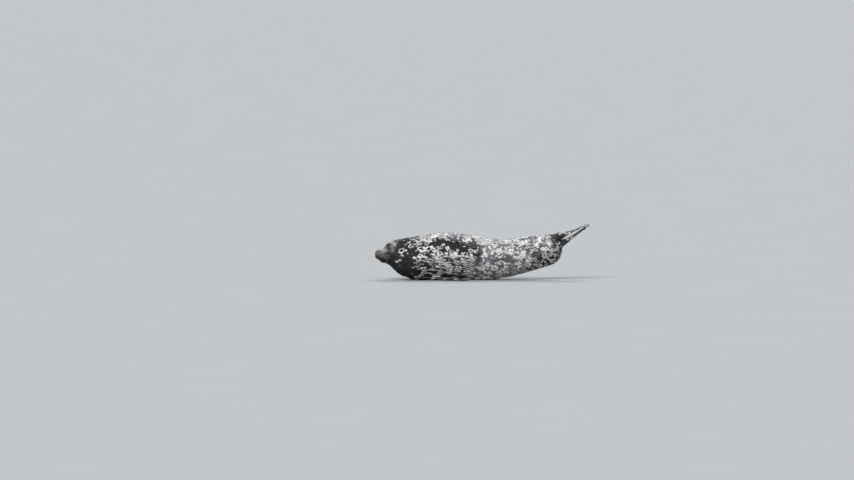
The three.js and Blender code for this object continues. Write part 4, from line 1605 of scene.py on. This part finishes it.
def whisker_curves(root, heading, length, droop):
    """Paths that leave the root along the heading and bend back and down as they go."""
    t = np.linspace(0, 1, WHISKER_STEPS)[None, :, None]
    bend = HEAD_BACKWARD * 0.55 - np.array([0, 0, 1.0]) * droop[:, None]
    return root[:, None] + length[:, None, None] * (t * heading[:, None] + 0.42 * t**2 * bend[:, None])


def whisker_roots(side):
    """Places, headings, lengths and base radii of the whiskers on one side of the muzzle."""
    rows = []
    for row, count in enumerate(WHISKERS_IN_ROWS):
        for k in range(count):
            back = k / 7
            s = 52 + 42 * back + rng.uniform(-1, 1) + 2 * (row % 2)
            degrees = 84 + 6.4 * row + 3 * back + rng.uniform(-0.8, 0.8)
            rows.append((s, degrees, 26 + 74 * back**1.15 * rng.uniform(0.85, 1.1), 0.29 + 0.22 * back))
    for k in range(BROW_WHISKERS):
        s, degrees = path_of(86 + 5.5 * k) + rng.uniform(-1, 1), 27 + 2.5 * k
        rows.append((s, degrees, 34 + 16 * rng.uniform(), 0.30))
    s, degrees, length, radius = np.array(rows).T
    degrees = degrees if side == "left" else 360 - degrees
    lean = np.where(s > 110, 0.35, 0.55 + 0.3 * rng.uniform(size=len(s)))
    astray = 0.12 * rng.normal(size=(len(s), 3))
    heading = unit(swept_normal(s, degrees) + lean[:, None] * HEAD_BACKWARD + astray)
    return body_point(s, degrees, 2.2), heading, length, radius


def build_whiskers():
    t, lofts = np.linspace(0, 1, WHISKER_STEPS), []
    for side in EYES:
        root, heading, length, base = whisker_roots(side)
        paths = whisker_curves(root, heading, length, 0.10 + 0.5 * rng.uniform(size=len(root)))
        for path, size, reach in zip(paths, base, length):
            ahead = unit(np.gradient(path, axis=0))
            aside = unit(np.cross(ahead, HEAD_UP))
            radius = size * (1 - 0.86 * t) * (1 + 0.13 * np.sin(2 * np.pi * t * reach / 7))
            rings = tube_rings(path, radius, aside, np.cross(ahead, aside), WHISKER_SIDES, (1.25, 0.8))
            lofts.append(closed_loft(rings, path[0], path[-1]))
    each = len(lofts[0][0])
    points = np.concatenate([points for points, _ in lofts])
    face_sets = [
        np.concatenate([faces[k] + i * each for i, (_, faces) in enumerate(lofts)]) for k in range(3)
    ]
    made = face_outward(new_mesh("whiskers", in_frame(points), face_sets))
    growth = np.tile(np.concatenate([np.repeat(t, WHISKER_SIDES), [0, 1]]), len(lofts))
    set_vectors(made.data, "growth", np.stack([growth, 0 * growth, 0 * growth], -1))
    return made, len(lofts)


def build_whisker_material():
    material, tree = new_material("whisker_horn")
    place = add_node(tree, "ShaderNodeTexCoord")["Object"]
    along = split(stored(tree, "growth"))[0] + lerp(noise(place, 90.0), -0.15, 0.15)
    return set_shader(
        material,
        Base_Color=ramp(along, (
            (0.0, (0.06, 0.05, 0.045)), (0.3, (0.30, 0.28, 0.24)), (1.0, (0.66, 0.64, 0.59)),
        )),
        Roughness=fade(along, 0.0, 1.0, 0.42, 0.3),
    )


whiskers, whisker_count = build_whiskers()
whiskers.data.materials.append(build_whisker_material())
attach(whiskers, "root")
print("whiskers:", whisker_count)

# %% [markdown]
# ## The coat
# Real hair is far too fine to model one by one, and a hair system can't be kept as mesh. So the coat is
# made of small tufts, each a flat, pointed, ridged blade of a few hairs stuck together. A tuft grows from
# a point of the skin, runs along the stored flow and lies almost flat, with its tip just proud. There
# are many of them, short and fine on the face and the flippers and longer on the trunk, in pieces of
# under 200,000 triangles. Each takes the facts stored at its root and keeps one place in the pattern, so
# that a whole tuft has one colour of the markings, with painted shade that darkens it towards its root.

# %% Where tufts grow
COAT_PIECES = {
    # name: (shapes it grows on, from and to behind the nose, gap between roots, length, width)
    "coat_muzzle": (("body",), (-99, 66), 1.55, (3.4, 4.2), 0.62),
    "coat_face": (("body",), (66, 112), 1.75, (4.2, 4.8), 0.68),
    "coat_cheeks": (("body",), (112, 210), 3.0, (4.8, 8.0), 0.95),
    "coat_neck": (("body",), (210, 340), 3.6, (8.0, 11.0), 1.35),
    "coat_shoulders": (("body",), (340, 560), 4.4, (11.0, 12.0), 1.6),
    "coat_chest": (("body",), (560, 800), 4.7, (12.0, 12.0), 1.7),
    "coat_loins": (("body",), (800, 1090), 4.7, (12.0, 12.0), 1.7),
    "coat_hips": (("body", "tail"), (1090, 2000), 4.7, (12.0, 10.0), 1.6),
    "coat_fore_flippers": (("fore_left", "fore_right"), (-99, 2000), 3.1, (6.5, 3.2), 1.0),
    "coat_hind_flippers": (("hind_left", "hind_right"), (-99, 2000), 3.6, (7.0, 3.2), 1.1),
}
MOST_TUFTS = 19500  # ten triangles each stay under 200,000
DRAWS_PER_CUBE = 5
PRESSED_BELOW = 0.004  # metres: the skin that the weight rests on


def bare_places(points, normals):
    """True where no hair grows: eye openings, lips, ears, nose, and where the weight rests."""
    places = points / MM + FRAME_MIDDLE
    f, l, d = to_head(places)
    bare = (points[:, 2] < PRESSED_BELOW) & (normals[:, 2] < -0.3)
    for centre, _, along, up in EYES.values():
        away = places - centre
        close = np.linalg.norm(away, axis=-1) < 30
        bare |= close & (outside_lids(dot(away, along), dot(away, up)) < 1.6)
    bare |= (f < MOUTH_END) & (np.abs(above_lips(f, d)) < 2.2)
    bare |= from_ear(f, l, d) < 4.5
    _, path, degrees = body_coordinates(points)
    across = path * np.sin(np.radians(degrees)) / NOSE["width"]
    up = (path * np.cos(np.radians(degrees)) - NOSE["up"]) / NOSE["height"]
    return bare | ((path < 60) & (np.hypot(across, up) < 0.98))


def carried(values, corners, share):
    """Values of the skin's points, carried to places on its triangles."""
    return np.einsum("nk,nkd->nd", share, values[corners])


def scatter_roots(wanted, gap, rng):
    """Even places on the wanted triangles: many are drawn, and each small cube of space keeps one."""
    corners = skin_triangles[wanted]
    a, b, c = (skin_points[corners[:, k]] for k in range(3))
    area = np.linalg.norm(np.cross(b - a, c - a), axis=-1) / 2
    total = int(area.sum() / (gap * MM) ** 2 * DRAWS_PER_CUBE)
    chosen = rng.choice(len(corners), total, p=area / area.sum())
    u, v = rng.uniform(size=(2, total))
    flip = u + v > 1
    u, v = np.where(flip, 1 - u, u), np.where(flip, 1 - v, v)
    share = np.stack([1 - u - v, u, v], -1)
    cube = np.floor(carried(skin_points, corners[chosen], share) / (gap * MM)).astype(np.int64)
    _, kept = np.unique(cube @ np.array([1, 100_003, 10_000_019]), return_index=True)
    return corners[chosen[kept]], share[kept]


print("coat pieces:", len(COAT_PIECES))

# %% The shape of a tuft
ALONG = np.array([0, 0, 0, 0.42, 0.42, 0.42, 1.0])  # seven points, as shares of a tuft's length,
ACROSS = np.array([-0.6, 0.6, 0, -1.0, 1.0, 0, 0]) / 2  # of its width
ABOVE = np.array([-0.7, -0.7, 0.1, 0.15, 0.15, 0.95, 0.85])  # and of its height
SIDES = np.array([(0, 3, 5, 2), (2, 5, 4, 1), (1, 4, 3, 0)])
ENDS = np.array([(0, 2, 1), (3, 6, 5), (5, 6, 4), (4, 6, 3)])
UV_PATCH = 0.003  # the size of a tuft on the flat map
TUFT_SLOPE = 0.085  # its height for its length
LOWEST_TUFT = 0.0008  # metres above the floor


def unwrap(points, corners, share, shapes):
    """Each root's place on a flat map of the skin: along and around the body, or over each blade."""
    if "body" in shapes:
        _, path, degrees = body_coordinates(points)
        low, high = path.min(), path.max()
        return np.stack([(path - low) / (high - low), degrees / 360], -1) * 0.98 + 0.01
    owner = skin_owner[corners]
    same = np.isin(owner, numbers_of(*shapes)) * share + 1e-6
    same = same / same.sum(1, keepdims=True)
    keys = carried(skin_keys, corners, same)
    strongest = np.arange(len(corners)), same.argmax(1)
    second_blade = owner[strongest] == numbers_of(*shapes)[-1]
    lower_face = skin_keys[corners[strongest], 2] < 0
    around = (keys[:, 1] + 1) / 2 * 0.23 + 0.25 * (second_blade * 2 + lower_face) + 0.01
    return np.stack([np.clip(keys[:, 0], 0, 1) * 0.98 + 0.01, around], -1)


def tuft_mesh(name, points, flat):
    start = np.arange(len(points))[:, None, None] * len(ALONG)
    face_sets = [(start + SIDES).reshape(-1, 4), (start + ENDS).reshape(-1, 3)]
    made = new_mesh(name, points.reshape(-1, 3), face_sets)
    patch = np.stack([ALONG - 0.5, ACROSS], -1) * UV_PATCH
    spots = (flat[:, None] + patch[None]).reshape(-1, 2)
    corner_points = np.empty(len(made.data.loops), np.int32)
    made.data.loops.foreach_get("vertex_index", corner_points)
    layer = made.data.uv_layers.new(name="OFBake")
    layer.data.foreach_set("uv", spots[corner_points].astype(np.float32).ravel())
    return face_outward(made)


print("triangles of a tuft:", 2 * len(SIDES) + len(ENDS))

# %% Growing one piece of coat
def roots_of(shapes, span, gap, rng):
    """Which triangles of the skin the roots lie on, and where on each."""
    own = np.isin(skin_owner[skin_triangles], numbers_of(*shapes))
    x = skin_points[skin_triangles].mean(1)[:, 0] / MM + FRAME_MIDDLE[0]
    wanted = (own.all(1) if "body" in shapes else own.any(1)) & (x >= span[0]) & (x < span[1])
    corners, share = scatter_roots(wanted, gap, rng)
    root, normal = carried(skin_points, corners, share), unit(carried(skin_normals, corners, share))
    order = rng.permutation(np.flatnonzero(~bare_places(root, normal)))[:MOST_TUFTS]
    return corners[order], share[order], root[order], normal[order]


def grow_coat(name, shapes, span, gap, lengths, width):
    rng = np.random.default_rng(sum(map(ord, name)))
    corners, share, root, normal = roots_of(shapes, span, gap, rng)
    count = len(root)
    aside = unit(np.cross(normal, carried(skin_flow, corners, share)))
    turn = rng.normal(0, 0.15, count)[:, None]
    flow = unit(np.cos(turn) * unit(np.cross(aside, normal)) + np.sin(turn) * aside)
    aside = np.cross(normal, flow)
    if "body" in shapes:
        behind = root[:, 0] / MM + FRAME_MIDDLE[0]
        reach = mix(*lengths, smoothstep(max(span[0], 0), min(span[1], RUMP_END), behind))
    else:
        reach = mix(*lengths, np.clip(carried(skin_keys, corners, share)[:, 0], 0, 1))
    reach = reach * rng.uniform(0.75, 1.2, count) * MM
    broad = width * rng.uniform(0.75, 1.25, count) * MM
    above = ABOVE * rng.uniform(0.75, 1.2, (count, 1))
    height = above * np.clip(TUFT_SLOPE * reach.mean() / MM, 0.35, 0.95) * MM
    along, across = ALONG * reach[:, None], ACROSS * broad[:, None]
    steps = (along, flow[:, None]), (across, aside[:, None]), (height, normal[:, None])
    points = moved(root[:, None], *steps)
    points[..., 2] = np.maximum(points[..., 2], LOWEST_TUFT)
    made = tuft_mesh(name, points, unwrap(root, corners, share, shapes))
    tone = rng.uniform(size=count)
    own = {fact: carried(facts[fact], corners, share) for fact in ("regions", "marks", "outward")}
    own["place"] = root + 0.5 * reach[:, None] * flow
    for fact, values in own.items():
        set_vectors(made.data, fact, np.repeat(values, len(ALONG), axis=0))
    hair = [np.tile(ALONG, count), np.repeat(tone, len(ALONG)), np.tile(ABOVE, count)]
    set_vectors(made.data, "hair", np.stack(hair, -1))
    return made


print("tufts at most in one piece:", MOST_TUFTS)

# %% The coat's material
def build_coat_material():
    material, tree = new_material("seal_coat")
    along, own, _ = split(stored(tree, "hair"))
    return set_shader(
        material,
        # painted shade: each tuft is darker at its root near the skin and paler at its tip; the random
        # tone of each tuft is its own
        Base_Color=pelage_colour(tree) * (fade(along, 0.0, 1.0, 0.84, 1.10) * lerp(own, 0.86, 1.14)),
        Roughness=fade(own, 0.0, 1.0, 0.72, 0.56),
        Specular_IOR_Level=0.35,
    )


coat_material = build_coat_material()
tufts = {}
for name, (shapes, span, gap, lengths, width) in COAT_PIECES.items():
    coat = grow_coat(name, shapes, span, gap, lengths, width)
    coat.data.materials.append(coat_material)
    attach(coat, "root")
    tufts[name] = len(coat.data.vertices) // len(ALONG)
print("tufts:", tufts, "in all", sum(tufts.values()))

# %% [markdown]
# ## The floor
# A plain pale studio floor, wide enough that the long lens sees nothing else. It has a trace of mottling
# so that it looks like a surface, and it belongs to the stage and not to the animal. One huge quad would
# do for the shape, but faces that are small near the middle keep its shading exact.

# %% Floor
FLOOR_HALF = 320.0
FLOOR_STEPS = 25


def build_floor():
    steps = np.sinh(np.linspace(-6, 6, FLOOR_STEPS)) / math.sinh(6) * FLOOR_HALF
    x, y = (values.ravel() for values in grid(steps, steps))
    i, j = grid(np.arange(FLOOR_STEPS - 1), np.arange(FLOOR_STEPS - 1))
    first = (i * FLOOR_STEPS + j).ravel()
    faces = np.stack([first, first + FLOOR_STEPS, first + FLOOR_STEPS + 1, first + 1], -1)
    made = new_mesh("floor", np.stack([x, y, 0 * x], -1), [faces])
    material, tree = new_material("pale_floor")
    cloud = noise(add_node(tree, "ShaderNodeTexCoord")["Object"], 1.4, 4.0)
    set_shader(
        material,
        Base_Color=blend(cloud, (0.330, 0.335, 0.340), (0.365, 0.370, 0.375)),
        Roughness=fade(cloud, 0.3, 0.7, 0.8, 0.9),
    )
    made.data.materials.append(material)
    return made


build_floor()
print("floor laid")
